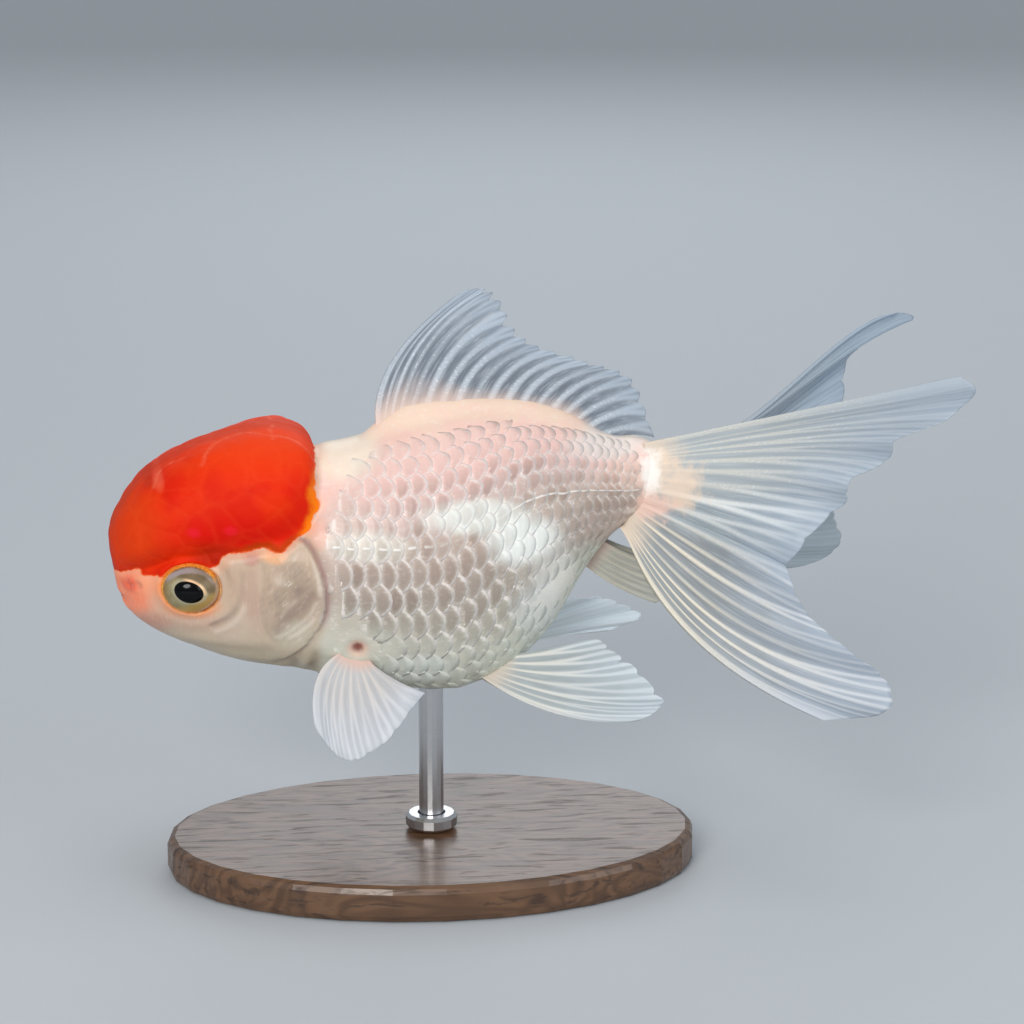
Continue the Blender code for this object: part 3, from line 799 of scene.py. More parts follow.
def face_tone(finish, tone):
    """Over the body's colour: cheeks, gill cover, salmon snout and the tinge round the eye, with painted
    reflections flecking the gill cover.
    """
    x, z = finish.axis("X"), finish.axis("Z")
    blur, fine = finish.noise(3.0, 3) - 0.5, finish.noise(0.8, 3)

    def lay(tone, *patches, ragged=0.5):
        return patched(finish, tone, (x, z), blur * ragged, (0.4, 1.25), *patches)

    def speckle(share, tone, middle, reach, colour):
        """Colour where both a share and a soft oval over the gill cover are high."""
        cover = finish.fall(oval(x, z, middle, reach) + blur * 0.5, 0.4, 1.25)
        return finish.mix(share * cover, tone, colour)

    head = finish.fall(x + blur * 2, -19.5, -17.5)
    cheeks = finish.mix(finish.fall(z, 37.0, 47.0), (0.56, 0.42, 0.31), (0.56, 0.49, 0.37))
    tone = lay(
        finish.mix(head, tone, cheeks),
        ((-22.5, 49.0), (4.6, 8.0), 0.85, (0.38, 0.29, 0.22)),
        ((-22.0, 43.6), (4.6, 3.0), 0.70, (0.56, 0.51, 0.40)),
        ((-32.0, 52.5), (2.4, 4.0), 0.60, (0.54, 0.38, 0.28)),
        ((-24.7, 53.0), (1.4, 1.2), 0.30, (0.66, 0.54, 0.44)),
    )
    tone = lay(tone, ((-29.0, 50.0), (1.4, 6.0), 0.55, (0.48, 0.31, 0.25)), ragged=1.6)
    tone = lay(tone, ((-28.8, 56.2), (1.8, 1.4), 0.60, (0.52, 0.20, 0.16)), ragged=1.2)
    tone = lay(
        tone,
        ((-25.6, 56.3), (2.4, 1.2), 0.80, (0.84, 0.44, 0.22)),
        ((-18.2, 59.6), (2.0, 2.6), 0.70, (0.84, 0.48, 0.38)),
        ((-31.5, 44.6), (4.0, 2.6), 0.50, (0.62, 0.49, 0.39)),
        ((-38.0, 45.6), (5.0, 2.4), 0.50, (0.56, 0.36, 0.28)),
    )
    slanted = finish.node("ShaderNodeCombineXYZ", {}, {"X": (x + z) * 0.30, "Z": (z - x) * 0.95})
    flecks = finish.noise(1.0, 4, 0.6, slanted)
    # painted reflections: bright flecks streak the gill cover; the dull flecks are its own dark mottling
    painted_glints, dull = finish.rise(flecks, 0.55, 0.68) * head, finish.fall(flecks, 0.34, 0.47) * head
    tone = speckle(painted_glints * 0.55, tone, (-22.0, 49.5), (5.0, 8.5), (0.78, 0.69, 0.58))
    tone = speckle(dull * 0.50, tone, (-22.5, 50.0), (5.5, 8.5), (0.30, 0.24, 0.20))
    salmon = finish.fall(x * 0.9 - z * 0.35 + blur * 3.0, -60.8, -52.0)
    tone = lay(
        finish.mix(salmon * 0.95, tone, (0.88, 0.32, 0.19)),
        ((-48.5, 49.0), (3.6, 4.4), 0.75, (0.95, 0.24, 0.12)),
        ((-45.0, 51.6), (2.6, 2.4), 0.60, (0.93, 0.36, 0.19)),
    )
    tone = lay(tone, ((-48.0, 50.4), (1.4, 1.4), 0.80, (0.78, 0.12, 0.06)), ragged=0.3)
    tone = lay(tone, ((-44.5, 44.6), (3.4, 2.2), 0.60, (0.54, 0.27, 0.21)))
    out = length(x - EYE_MIDDLE.x, (z - EYE_MIDDLE.z) * EYE_SHAPE)
    halo = finish.fall(out + blur * 1.6, 4.6, 6.6) * finish.fall(x * 0.6 + z, 26.0, 30.0)
    tone = finish.mix(halo * 0.8, tone, (0.90, 0.32, 0.13))
    gold = finish.ramp(fine, [(0.35, (0.70, 0.20, 0.03)), (0.65, (0.88, 0.52, 0.16))])
    tone = finish.mix(finish.fall(out, 4.5, 5.0) * 0.85, tone, gold)
    streaks = finish.noise(1.0, 4, 0.6, finish.place((0.35, 1.0, 1.6)))
    return finish.mix(finish.rise(streaks, 0.5, 0.8) * head * 0.25, tone, (0.82, 0.66, 0.56))


def hood_tone(finish, tone):
    """The red of the hood, orange along its back edge, with crimson depths and pale folds, and painted
    shade along the crown's top and under its edge above the eye.
    """
    x, z = finish.axis("X"), finish.axis("Z")
    broad, fine = finish.noise(6.0, 3), finish.noise(0.9, 4, 0.6)
    drift = (broad - 0.5) * 3
    edge = finish.attribute("cap") + (fine - 0.5) * 0.7
    red = finish.mix(finish.rise(broad, 0.40, 0.62), (0.76, 0.026, 0.001), (0.70, 0.014, 0.001))
    red = finish.mix(finish.rise(z + drift, 67.0, 74.0) * 0.8, red, (0.84, 0.056, 0.005))
    red = patched(
        finish, red, (x + drift * 0.3, z + drift * 0.3), 0.0, (0.3, 1.2),
        ((-48.0, 60.0), (7.0, 9.0), 0.80, (0.72, 0.050, 0.003)),
        ((-31.5, 60.3), (12.0, 3.6), 0.85, (0.68, 0.006, 0.001)),
        ((-37.8, 60.3), (1.3, 1.0), 0.80, (0.80, 0.012, 0.025)),
        ((-32.0, 60.7), (1.3, 1.0), 0.80, (0.80, 0.012, 0.025)),
        ((-44.6, 67.1), (1.3, 1.3), 0.60, (0.50, 0.030, 0.004)),
        ((-43.0, 67.4), (1.0, 1.6), 0.35, (0.92, 0.20, 0.10)),
        # painted shade under the hood's edge, above the eye's rear
        ((-34.4, 56.2), (4.4, 2.4), 0.70, (0.38, 0.014, 0.001)),
    )
    low_rear = finish.rise(x, -33.0, -29.0) * finish.fall(z, 58.5, 61.0)
    rear = finish.rise(x, -22.5, -20.0) * finish.rise(z, 57.5, 60.0)
    rear = rear * finish.fall(z + drift, 66.5, 70.0)
    red = finish.layered(
        red,
        # painted shade along the crown's top, near the middle plane
        (finish.fall(abs(finish.axis("Y")) + drift * 0.4, 1.5, 4.5) * 0.45, (0.50, 0.040, 0.010)),
        (finish.attribute("creases") * 0.10, (0.90, 0.10, 0.020)),
        (finish.attribute("folds") * (0.12 + finish.rise(fine, 0.40, 0.70) * 0.42), (0.88, 0.22, 0.12)),
        (finish.fall(edge, 0.3, 2.0) * low_rear * 0.8, (0.44, 0.050, 0.001)),
        (finish.fall(edge, 0.5, 1.9) * rear, (0.97, 0.21, 0.003)),
        (finish.fall(edge, 0.05, 0.45) * 0.5, (0.93, 0.15, 0.012)),
    )
    tone = finish.mix(finish.rise(edge, -1.6, 0.0) * 0.40, tone, (0.93, 0.46, 0.28))
    return finish.mix(on_hood(finish, edge), tone, red)


def on_hood(finish, edge):
    return finish.rise(edge, -0.12, 0.22)


def skin_finish():
    finish = Finish("fish_skin", subsurface_weight=0.10, subsurface_scale=0.0012, coat_roughness=0.15)
    finish.set(subsurface_radius=(1.0, 0.35, 0.2), specular_ior_level=0.10)
    tone = hood_tone(finish, face_tone(finish, body_tone(finish)))
    red = on_hood(finish, finish.attribute("cap"))
    pit = finish.attribute("pit")
    finish.set(base_color=finish.layered(
        tone,
        # painted highlights on the gill cover's ridges, rim and bright spots, and on the cheek's ridge
        (finish.attribute("light") * 0.55, (0.80, 0.72, 0.62)),
        # painted shade in the gill cover's valley, the preopercle's fold and the cheek's groove, with the
        # skin's own dark spots
        (finish.attribute("shade") * 0.70, (0.24, 0.17, 0.15)),
        # painted shade in the gill slit, the nostril pits and the vent
        (finish.attribute("dark") * 0.75, (0.30, 0.16, 0.15)),
        # painted shade inside the mouth's slit
        (finish.attribute("gape") * 0.80, (0.30, 0.10, 0.08)),
        # the pectoral pit: a paler orange ring round it, and painted shade deep in it
        (finish.rise(pit, 0.02, 0.45) * 0.6, (0.80, 0.50, 0.38)),
        (finish.rise(pit, 0.35, 0.95) * 0.9, (0.20, 0.04, 0.03)),
    ))
    shagreen = finish.noise(0.45, 4, 0.6)
    lumps = finish.bump(finish.cells(0.55) * red, 0.04, 0.5)
    finish.set(normal=finish.bump(shagreen, 0.04, 0.5, lumps))
    finish.set(roughness=0.38 + shagreen * 0.12 + red * 0.18)
    finish.set(coat_weight=0.14 - red * 0.14)
    return finish


def build_skin():
    grid, front, back, sculpt = cast_skin()
    rings = len(grid)
    shape = bmesh.new()
    bmesh.ops.create_uvsphere(shape, u_segments=COLUMNS, v_segments=rings + 1, radius=1.0)
    shape.verts.ensure_lookup_table()
    unit = np.array([v.co for v in shape.verts])
    ring = np.rint(np.arccos(np.clip(unit[:, 2], -1, 1)) / math.pi * (rings + 1)).astype(int) - 1
    column = np.rint(np.arctan2(unit[:, 1], unit[:, 0]) / (2 * math.pi) * COLUMNS).astype(int) % COLUMNS
    for vert, i, j in zip(shape.verts, ring, column):
        vert.co = front if i < 0 else back if i == rings else grid[i, j]
    unwrap = shape.loops.layers.uv.new("unwrap")
    for face in shape.faces:
        for loop in face.loops:
            index = loop.vert.index
            seam_turn = (column[index] / COLUMNS + 0.25) % 1.0
            if seam_turn < 1e-6 and any((column[v.index] / COLUMNS + 0.25) % 1.0 > 0.5 for v in face.verts):
                seam_turn = 1.0
            loop[unwrap].uv = (seam_turn, 1 - (ring[index] + 1) / (rings + 1))
    bmesh.ops.recalc_face_normals(shape, faces=shape.faces)
    skin = add_piece("skin", shape, skin_finish())
    inner = np.clip(ring, 0, rings - 1)
    fields = {
        "height": sculpt.height, "cap": sculpt.cap, "folds": sculpt.folds,
        "creases": sculpt.crease_lines, "gape": sculpt.gape, "pit": sculpt.pit,
        "dark": np.maximum.reduce([sculpt.slit_shade, 0.35 * sculpt.pits, 0.5 * sculpt.vent_dark]),
        "shade": np.maximum(sculpt.gill_shade_and_spots, 0.7 * sculpt.cheek_shade),
        "light": np.maximum(sculpt.gill_highlights, 0.8 * sculpt.cheek_highlights),
    }
    for name, values in fields.items():
        keep_values(skin.data, name, values[inner, column])
    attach(skin, "root")
    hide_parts(*FLESH)
    return grid, sculpt


skin_grid, skin_sculpt = build_skin()


# The scales: thin overlapping plates of pearly bone in staggered rows from the gill slit to the
# tail, each set in the skin at its front edge and free at its rounded back edge.

UPPER_ROWS = ((-20.0, 3.2), (0.0, 3.3), (10.0, 2.9), (24.0, 2.1), (36.0, 1.6))  # x and row spacing
LOWER_ROWS = ((-20.0, 4.1), (2.0, 4.2), (12.0, 3.5), (22.0, 2.4), (36.0, 1.7))
PLATE_PITCH = ((-20.0, 2.35), (2.0, 2.45), (10.0, 2.2), (18.0, 1.85), (28.0, 1.45), (36.0, 1.3))
PLATE_LENGTH = 1.75  # in pitches, so that each is half covered by those ahead of it
PLATE_WIDTH = 1.72  # in rows
PLATE_THICKNESS = 0.03
PLATE_LIFT = 0.055  # of the free edge over the skin
PLATE_ROOT = -0.01  # of the root under the skin
PLATE_POINT = 0.42  # how far the free edge's ends fall back from its middle
PLATE_WAIST = 0.80  # of its width at its root
PLATE_CURL = 0.02  # of its sides, down
LENGTHS, WIDTHS, ROLLS = (0.94, 1.07), (0.96, 1.04), (-0.12, 0.12)  # how much scales differ
FIRST_PLATE, LAST_PLATE = -21.0, 36.0
PLATE_SUNK = 0.09  # how much lower a scale lies where none should show
PLATE_TESTS = ((0.0, 0.0), (0.5, -0.8), (0.5, 0.0), (0.5, 0.8), (1.0, 0.0))  # along and across
PLATES_END = LAST_PLATE + 2
LAST_PORE = 32.5  # where the lateral line's tubes end
LEAST_SHOW = 0.05
BAKE_PATCH = 0.003


class Flank:
    """The skin of one side as rings of places, told by x and by distance from the lateral line."""

    def __init__(self, side):
        quarter, half = COLUMNS // 4, COLUMNS // 2
        columns = (3 * quarter + side * np.arange(half + 1)) % COLUMNS  # from the belly to the back
        self.places = skin_grid[:, columns]
        self.normals = grid_normals(skin_grid)[:, columns]
        self.height = body_height(skin_grid)[:, columns]
        self.show = skin_sculpt.show[:, columns]
        steps = np.linalg.norm(np.diff(self.places, axis=1), axis=2)
        girth = np.concatenate([np.zeros((len(skin_grid), 1)), np.cumsum(steps, axis=1)], axis=1)
        self.girth = np.empty_like(girth)
        self.line_x = np.empty(len(skin_grid))  # where each ring crosses the lateral line
        for i, ring in enumerate(self.places):
            over = ring[:, 2] > read_off(ring[:, 0], LATERAL_LINE)
            above = int(np.argmax(over)) if over.any() else half
            self.girth[i] = girth[i] - girth[i, above]
            self.line_x[i] = ring[above, 0]

    def ring_at(self, x):
        """The fractional number of the ring that crosses the lateral line at x."""
        return np.interp(x, self.line_x[HEAD_RINGS:], np.arange(HEAD_RINGS, len(self.line_x)))

    def read(self, x, reach, *fields):
        """Each field's value on the ring at x, at a distance up from the lateral line."""
        ring = self.ring_at(x)
        first = min(int(ring), len(self.line_x) - 2)
        share = ring - first
        found = []
        for field in fields:
            ends = [self.on_ring(first + k, reach, field) for k in (0, 1)]
            found.append(ends[0] * (1 - share) + ends[1] * share)
        return found

    def on_ring(self, i, reach, field):
        row = self.girth[i]
        k = int(np.clip(np.searchsorted(row, reach) - 1, 0, len(row) - 2))
        share = min(1.0, max(0.0, (reach - row[k]) / max(row[k + 1] - row[k], 1e-6)))
        return field[i, k] * (1 - share) + field[i, k + 1] * share

    def reach_limits(self, x):
        ring = int(self.ring_at(x))
        return self.girth[ring, 0], self.girth[ring, -1]


def plate_template():
    """One scale, 1 long and 2 wide, with a round free edge: along and across for each corner."""
    plate = bmesh.new()
    bmesh.ops.create_grid(plate, x_segments=3, y_segments=6, size=0.5)
    bmesh.ops.solidify(plate, geom=plate.faces[:], thickness=1.0)
    bmesh.ops.recalc_face_normals(plate, faces=plate.faces)
    template = bpy.data.meshes.new("plate")
    plate.to_mesh(template)
    highest = max(vert.co.z for vert in plate.verts)
    corners = [(v.co.x + 0.5, v.co.y * 2, highest - v.co.z > 0.5) for v in plate.verts]
    plate.free()
    return template, corners


def scale_finish():
    finish = Finish("fish_scales", coat_roughness=0.15, subsurface_weight=0.08, subsurface_scale=0.001)
    finish.set(specular_ior_level=0.22)
    tone = body_tone(finish)
    along, across = finish.attribute("along"), finish.attribute("across")
    tint, show = finish.attribute("tint"), finish.attribute("show")
    fine = finish.noise(0.5, 3)
    sides = abs(across) * finish.rise(along, 0.0, 0.35)
    edge = finish.node("ShaderNodeMath", {"operation": "MAXIMUM"}, {0: along, 1: sides})
    edge = edge + (fine - 0.5) * 0.12
    aside = across / 0.78
    from_centre = length((along - 0.64) / 0.25, aside) + (fine - 0.5) * 0.45
    pale = finish.rise(finish.attribute("height"), 0.30, 0.70)
    centre = finish.fall(from_centre, 0.45, 1.10) * show * (1 - pale * 0.6)
    low = finish.fall(aside, -0.9, 0.7)
    patchy = finish.rise(finish.noise(1.4, 3), 0.36, 0.66)
    rim = finish.rise(from_centre, 0.88, 1.20) * (0.12 + patchy * 0.30 + show * 0.28)
    tone = finish.layered(
        tone,
        (centre * (0.35 + tint * 0.55), finish.mix(1.0, tone, (0.66, 0.60, 0.58), "MULTIPLY")),
        (centre * low * tint * 0.40, (0.26, 0.20, 0.17)),
        (rim * finish.rise(show, 0.05, 0.40), (0.93, 0.83, 0.77)),
    )
    rear = finish.rise(finish.axis("X"), 2.0, 12.0)
    tube = finish.fall(abs(across), 0.03, 0.11) * finish.attribute("pore")
    tube = tube * finish.rise(along + rear * 0.6, 0.50, 0.56) * finish.fall(along - rear, 0.82, 0.90)
    tube = tube * (0.15 + finish.rise(abs(finish.axis("X") - 5.0), 4.0, 9.0) * 0.65)
    finish.set(base_color=finish.mix(tube, tone, (0.93, 0.86, 0.80)))
    rings = finish.node("ShaderNodeMath", {"operation": "SINE"}, {0: edge * 50.0})
    raised = finish.bump(tube, 0.10, 0.8)
    finish.set(normal=finish.bump(rings * 0.3 + fine, 0.012, 0.5, raised))
    finish.set(roughness=0.32 + finish.noise(2.0, 2) * 0.14)
    finish.set(metallic=show * 0.05, coat_weight=0.07)
    return finish


def plate_rows(flank):
    """Where each scale starts: x, distance from the lateral line, its row, and the rows' spacing."""
    starts = []
    x, number = FIRST_PLATE, 0
    while x < LAST_PLATE:
        low, high = flank.reach_limits(x)
        upper, lower = read_off(x, UPPER_ROWS), read_off(x, LOWER_ROWS)
        for row in range(int(low / lower) - 1, int(high / upper) + 2):
            spacing = upper if row > 0 else lower if row < 0 else (upper + lower) / 2
            if (row + number) % 2:
                continue
            if low - 0.3 * spacing < row * spacing < high + 0.3 * spacing:
                starts.append((x, row * spacing, row, spacing))
        x += read_off(x, PLATE_PITCH) / 2
        number += 1
    return starts


def build_scales(side, name):
    dice = random.Random(3 if side < 0 else 4)
    flank = Flank(side)
    template, corners = plate_template()
    shape = bmesh.new()
    places, bake = [], []
    values = {"height": [], "along": [], "across": [], "tint": [], "show": [], "pore": []}
    for x, reach, row, spacing in plate_rows(flank):
        long = read_off(x, PLATE_PITCH) * PLATE_LENGTH * dice.uniform(*LENGTHS)
        wide = spacing * PLATE_WIDTH / 2 * dice.uniform(*WIDTHS)
        shows = (
            flank.read(min(x + along * long, PLATES_END), reach + across * wide, flank.show)[0]
            for along, across in PLATE_TESTS
        )
        if min(shows) < LEAST_SHOW:
            continue
        shape.from_mesh(template)
        low, high = flank.reach_limits(x)
        tint, roll = dice.random(), dice.uniform(*ROLLS)
        turn = (reach - low) / (high - low) / 2
        root = (turn if side < 0 else 1 - turn, 1 - flank.ring_at(x) / (len(skin_grid) + 1))
        pore = 1.0 if row == 0 and x < LAST_PORE else 0.0  # a scale of the lateral line
        for along, across, under in corners:
            to_x = x + along * long * (1 - PLATE_POINT * abs(across) ** 2.2)
            narrow = PLATE_WAIST + (1 - PLATE_WAIST) * math.sin(math.pi * min(1.0, along * 1.15))
            to_reach = reach + across * wide * narrow + roll * along
            place, normal, height, shown = flank.read(
                min(to_x, PLATES_END), to_reach, flank.places, flank.normals, flank.height, flank.show
            )
            entered, free = slope(shown, 0.03, 0.18), 0.8 + 0.2 * slope(shown, 0.15, 0.7)
            lift = PLATE_ROOT + (PLATE_LIFT - PLATE_ROOT) * along * free - PLATE_CURL * across ** 2
            lift -= PLATE_SUNK * (1 - entered) + (PLATE_THICKNESS if under else 0.0)
            places.append(place + normal / np.linalg.norm(normal) * lift)
            for kept, number in zip(values.values(), (height, along, across, tint, shown, pore)):
                kept.append(number)
            bake.append((root[0] + (along + under) * BAKE_PATCH / 2, root[1] + across * BAKE_PATCH / 2))
    for vert, place in zip(shape.verts, places):
        vert.co = place
    bmesh.ops.recalc_face_normals(shape, faces=shape.faces)
    shape.verts.index_update()
    layer = shape.loops.layers.uv.new("OFBake")
    for face in shape.faces:
        for loop in face.loops:
            loop[layer].uv = bake[loop.vert.index]
    bpy.data.meshes.remove(template)
    piece = add_piece(name, shape, scales_finish)
    for key, numbers in values.items():
        keep_values(piece.data, key, np.array(numbers))
    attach(piece, "root")


SIDES = ((-1, "left"), (1, "right"))
scales_finish = scale_finish()
for side, name in SIDES:
    build_scales(side, f"scales_{name}")


# The eyes: each a glossy ball set in its socket, with a dark oval pupil, a pearl and olive iris and a
# raised gold ring round it, and with a painted glint, a painted reflection and painted shade on the iris.
# They look outwards and a little ahead.

EYE_SEGMENTS, EYE_RINGS = 72, 60
LOOK_AHEAD, LOOK_UP = math.radians(7), math.radians(3)
PUPIL = (2.34, 1.78)  # half length and half height
PUPIL_MIDDLE = (0.05, -0.02)  # rearward and up from the middle of the iris
PUPIL_TILT = math.radians(-30)
IRIS_SPAN = 10.0  # the width in life of the iris's UV map
EYE_STRETCH = (1.05, 0.90, 0.95)  # of the ball: rearward, up and outwards
EYE_INSET = 0.05  # of the ball in its solid


def eye_finish():
    finish = Finish("fish_eye", specular_ior_level=0.18)
    where = finish.node("ShaderNodeUVMap", {"uv_map": "iris"}, {})
    u, v = (finish.axis("X", where) - 0.5) * IRIS_SPAN, (finish.axis("Y", where) - 0.5) * IRIS_SPAN
    out = length(u, v)
    turned_x, turned_y = math.cos(PUPIL_TILT), math.sin(PUPIL_TILT)
    from_u, from_v = u - PUPIL_MIDDLE[0], v - PUPIL_MIDDLE[1]
    along, across = from_u * turned_x + from_v * turned_y, from_v * turned_x - from_u * turned_y
    pupil = length(along / PUPIL[0], across / PUPIL[1])
    grit, blur = finish.noise(0.35, 4, 0.65), finish.noise(1.6, 2)
    arch = length(u * 0.95 - 0.1, v * 1.03 + 0.1) + (blur - 0.5) * 0.5

    def zone(value, low, high):
        return finish.rise(value + (blur - 0.5) * 0.8, low, high)

    reflection_arc = finish.rise(arch, 3.25, 3.60) * finish.fall(arch, 3.95, 4.15)
    pale = finish.rise(pupil, 1.0, 1.04) * finish.fall(pupil, 1.08, 1.34)
    gold = finish.ramp(grit, [(0.38, (0.78, 0.26, 0.010)), (0.62, (0.98, 0.56, 0.10))])
    low_gold = finish.mix(finish.rise(v, -2.5, 0.5), (0.80, 0.30, 0.06), gold)
    tone = finish.layered(
        finish.ramp(blur * 0.5 + grit * 0.5, [(0.38, (0.27, 0.22, 0.11)), (0.62, (0.40, 0.35, 0.20))]),
        (finish.rise(out + (grit - 0.5) * 0.8, 2.5, 3.8) * 0.5, (0.20, 0.13, 0.05)),
        # painted shade on the iris's upper rear, under the socket's rear wall
        (zone(v + u * 0.6, 0.9, 2.2) * 0.80, (0.16, 0.11, 0.065)),
        ((1 - zone(v - u * 0.5, -3.2, -1.6)) * 0.8, (0.50, 0.31, 0.085)),
        ((1 - zone(u, -4.0, -2.8)) * 0.8, (0.26, 0.15, 0.045)),
        # painted reflection: the cornea's pale lavender arc round the iris's upper half
        (reflection_arc * zone(v + u * 0.15, 0.2, 1.8) * 0.80,
         finish.mix(finish.rise(u, -1.5, 2.5), (0.40, 0.34, 0.35), (0.30, 0.24, 0.20))),
        (pale * 0.60, (0.50, 0.46, 0.34)),
        # painted glint: the lamp's orange-white reflection on the pupil's upper rim
        (pale * finish.rise(across + along * 0.2, 0.9, 1.6) * 0.9, (0.92, 0.60, 0.34)),
        (finish.rise(out + (grit - 0.5) * 0.3 - v * 0.03, 3.75, 4.05),
         finish.mix(finish.rise(u - v * 0.5, 2.2, 3.4) * 0.8, low_gold, (0.46, 0.37, 0.29))),
        (finish.fall(pupil, 0.97, 1.03), (0.001, 0.001, 0.0015)),
    )
    finish.set(base_color=tone, roughness=0.10 + finish.rise(pupil, 1.0, 1.2) * 0.14)
    finish.set(metallic=finish.rise(pupil, 1.0, 1.1) * 0.15)
    finish.set(normal=finish.bump(grit * finish.rise(pupil, 1.0, 1.2), 0.03, 0.4))
    return finish


def eye_profile(out):
    """How far the eye's surface stands off its ball, by the distance from its axis."""
    lens = 0.20 * slope(-out, -2.3, -1.5)
    ring = 0.12 * bell(out - 3.95, 0.30)
    dish = -0.10 * bell(out - 2.9, 0.7)
    return lens + ring + dish


def build_eye(side, name):
    middle = Vector((EYE_MIDDLE.x, abs(EYE_MIDDLE.y) * side, EYE_MIDDLE.z))
    outward = Vector((
        -math.sin(LOOK_AHEAD) * math.cos(LOOK_UP), side * math.cos(LOOK_AHEAD) * math.cos(LOOK_UP),
        math.sin(LOOK_UP),
    ))
    rearward = Vector((math.cos(LOOK_AHEAD), side * math.sin(LOOK_AHEAD), 0.0))
    upward = rearward.cross(outward) * side
    axes = [axis * stretch for axis, stretch in zip((rearward, upward, outward), EYE_STRETCH)]
    ball = bmesh.new()
    bmesh.ops.create_uvsphere(ball, u_segments=EYE_SEGMENTS, v_segments=EYE_RINGS, radius=1.0)
    iris = ball.loops.layers.uv.new("iris")
    plan = {}
    for vert in ball.verts:
        unit = vert.co.normalized()
        flat = math.hypot(unit.x, unit.y) * EYE_RADIUS
        radius = EYE_RADIUS - EYE_INSET + (eye_profile(flat) if unit.z > 0 else 0.0)
        plan[vert] = [part * EYE_RADIUS / IRIS_SPAN + 0.5 for part in unit.xy]
        vert.co = middle + (axes[0] * unit.x + axes[1] * unit.y + axes[2] * unit.z) * radius
    for face in ball.faces:
        for loop in face.loops:
            loop[iris].uv = plan[loop.vert]
    bmesh.ops.recalc_face_normals(ball, faces=ball.faces)
    eye = add_piece(f"eyeball_{name}", ball, eyes_finish)
    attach(eye, "root")
    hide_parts(f"eye_{name}")


eyes_finish = eye_finish()
for side, name in SIDES:
    build_eye(side, name)


# The dorsal fin: a clear membrane on eighteen bony rays that lean back and fork towards the
# margin, where each ray's tip stands past the membrane. Its foot is thick and cream like the back.

FORK_SPREADS = (0.25, 0.125)  # of the first and second fork, in shares of a ray's room
LEANS, STRENGTHS, NOTCHES = (-0.09, 0.09), (0.55, 1.0), (0.5, 1.3)  # how much rays differ
LEADING_NOTCHES = (0.1, 0.3, 0.6)  # rays stand close together at the leading edge
LEADING_RAY = 0.8  # the width of the strong ray there, in a ray's room
STRAY_DEPTH = 0.026  # of the margin's wander, in shares of a ray
FOOT_SHARE = 0.14  # how fast a fin thins over its foot
MARGIN_THINNING = 0.6
SWAY_PEAK = 0.0962  # of the curve that a lobe sways on
DORSAL_RAYS = (
    ((-8.0, 0, 71.5), (-6.2, 0.3, 83.4), (6.2, 0.8, 95.4)),
    ((-5.0, 0, 72.0), (-0.2, 0.2, 86.0), (10.4, 0.6, 94.6)),
    ((3.0, 0, 74.0), (6.8, -0.4, 83.0), (14.6, -0.8, 87.8)),
    ((12.0, 0, 74.0), (15.8, -0.5, 81.0), (23.2, -1.0, 84.0)),
    ((20.0, 0, 73.0), (25.0, 0.0, 78.0), (32.2, 0.2, 80.4)),
    ((25.0, 0, 69.4), (30.8, 0.4, 71.0), (36.2, 0.9, 70.4)),
)


def across_rays(rays, u):
    """Root, middle and tip of the rays at shares u across the fin, on smooth curves."""
    keys = np.array(rays, float)
    keys = np.concatenate([2 * keys[:1] - keys[1:2], keys, 2 * keys[-1:] - keys[-2:-1]])
    t = np.clip(u, 0, 1) * (len(rays) - 1)
    i = np.minimum(t.astype(int), len(rays) - 2)
    return spline(keys[i], keys[i + 1], keys[i + 2], keys[i + 3], (t - i)[:, None, None])


def forks(v, starts):
    """How far apart the branches of a ray are at v, for each fork, in shares of a ray's room."""
    return [s * slope(v, start, start + 0.55) for s, start in zip(FORK_SPREADS, starts)]


def ray_ridges(u, v, count, starts, widths, dice):
    """How much of a ray there is at each place, from 0 between the rays to 1 on a strong one."""
    number = np.minimum((u * count).astype(int), count - 1)
    lean = np.array([dice.uniform(*LEANS) for _ in range(count)])[number]
    strength = np.array([dice.uniform(*STRENGTHS) for _ in range(count)])[number]
    across = u * count - number - 0.5 - lean * v
    branches = [np.zeros_like(v)]
    for spread in forks(v, starts):
        branches = [b + sign * spread for b in branches for sign in (-1, 1)]
    root_width, tip_width = widths
    width = root_width + (tip_width - root_width) * slope(v, starts[0], starts[0] + 0.7)
    return np.max([bell(across - b, width) for b in branches], axis=0) * strength


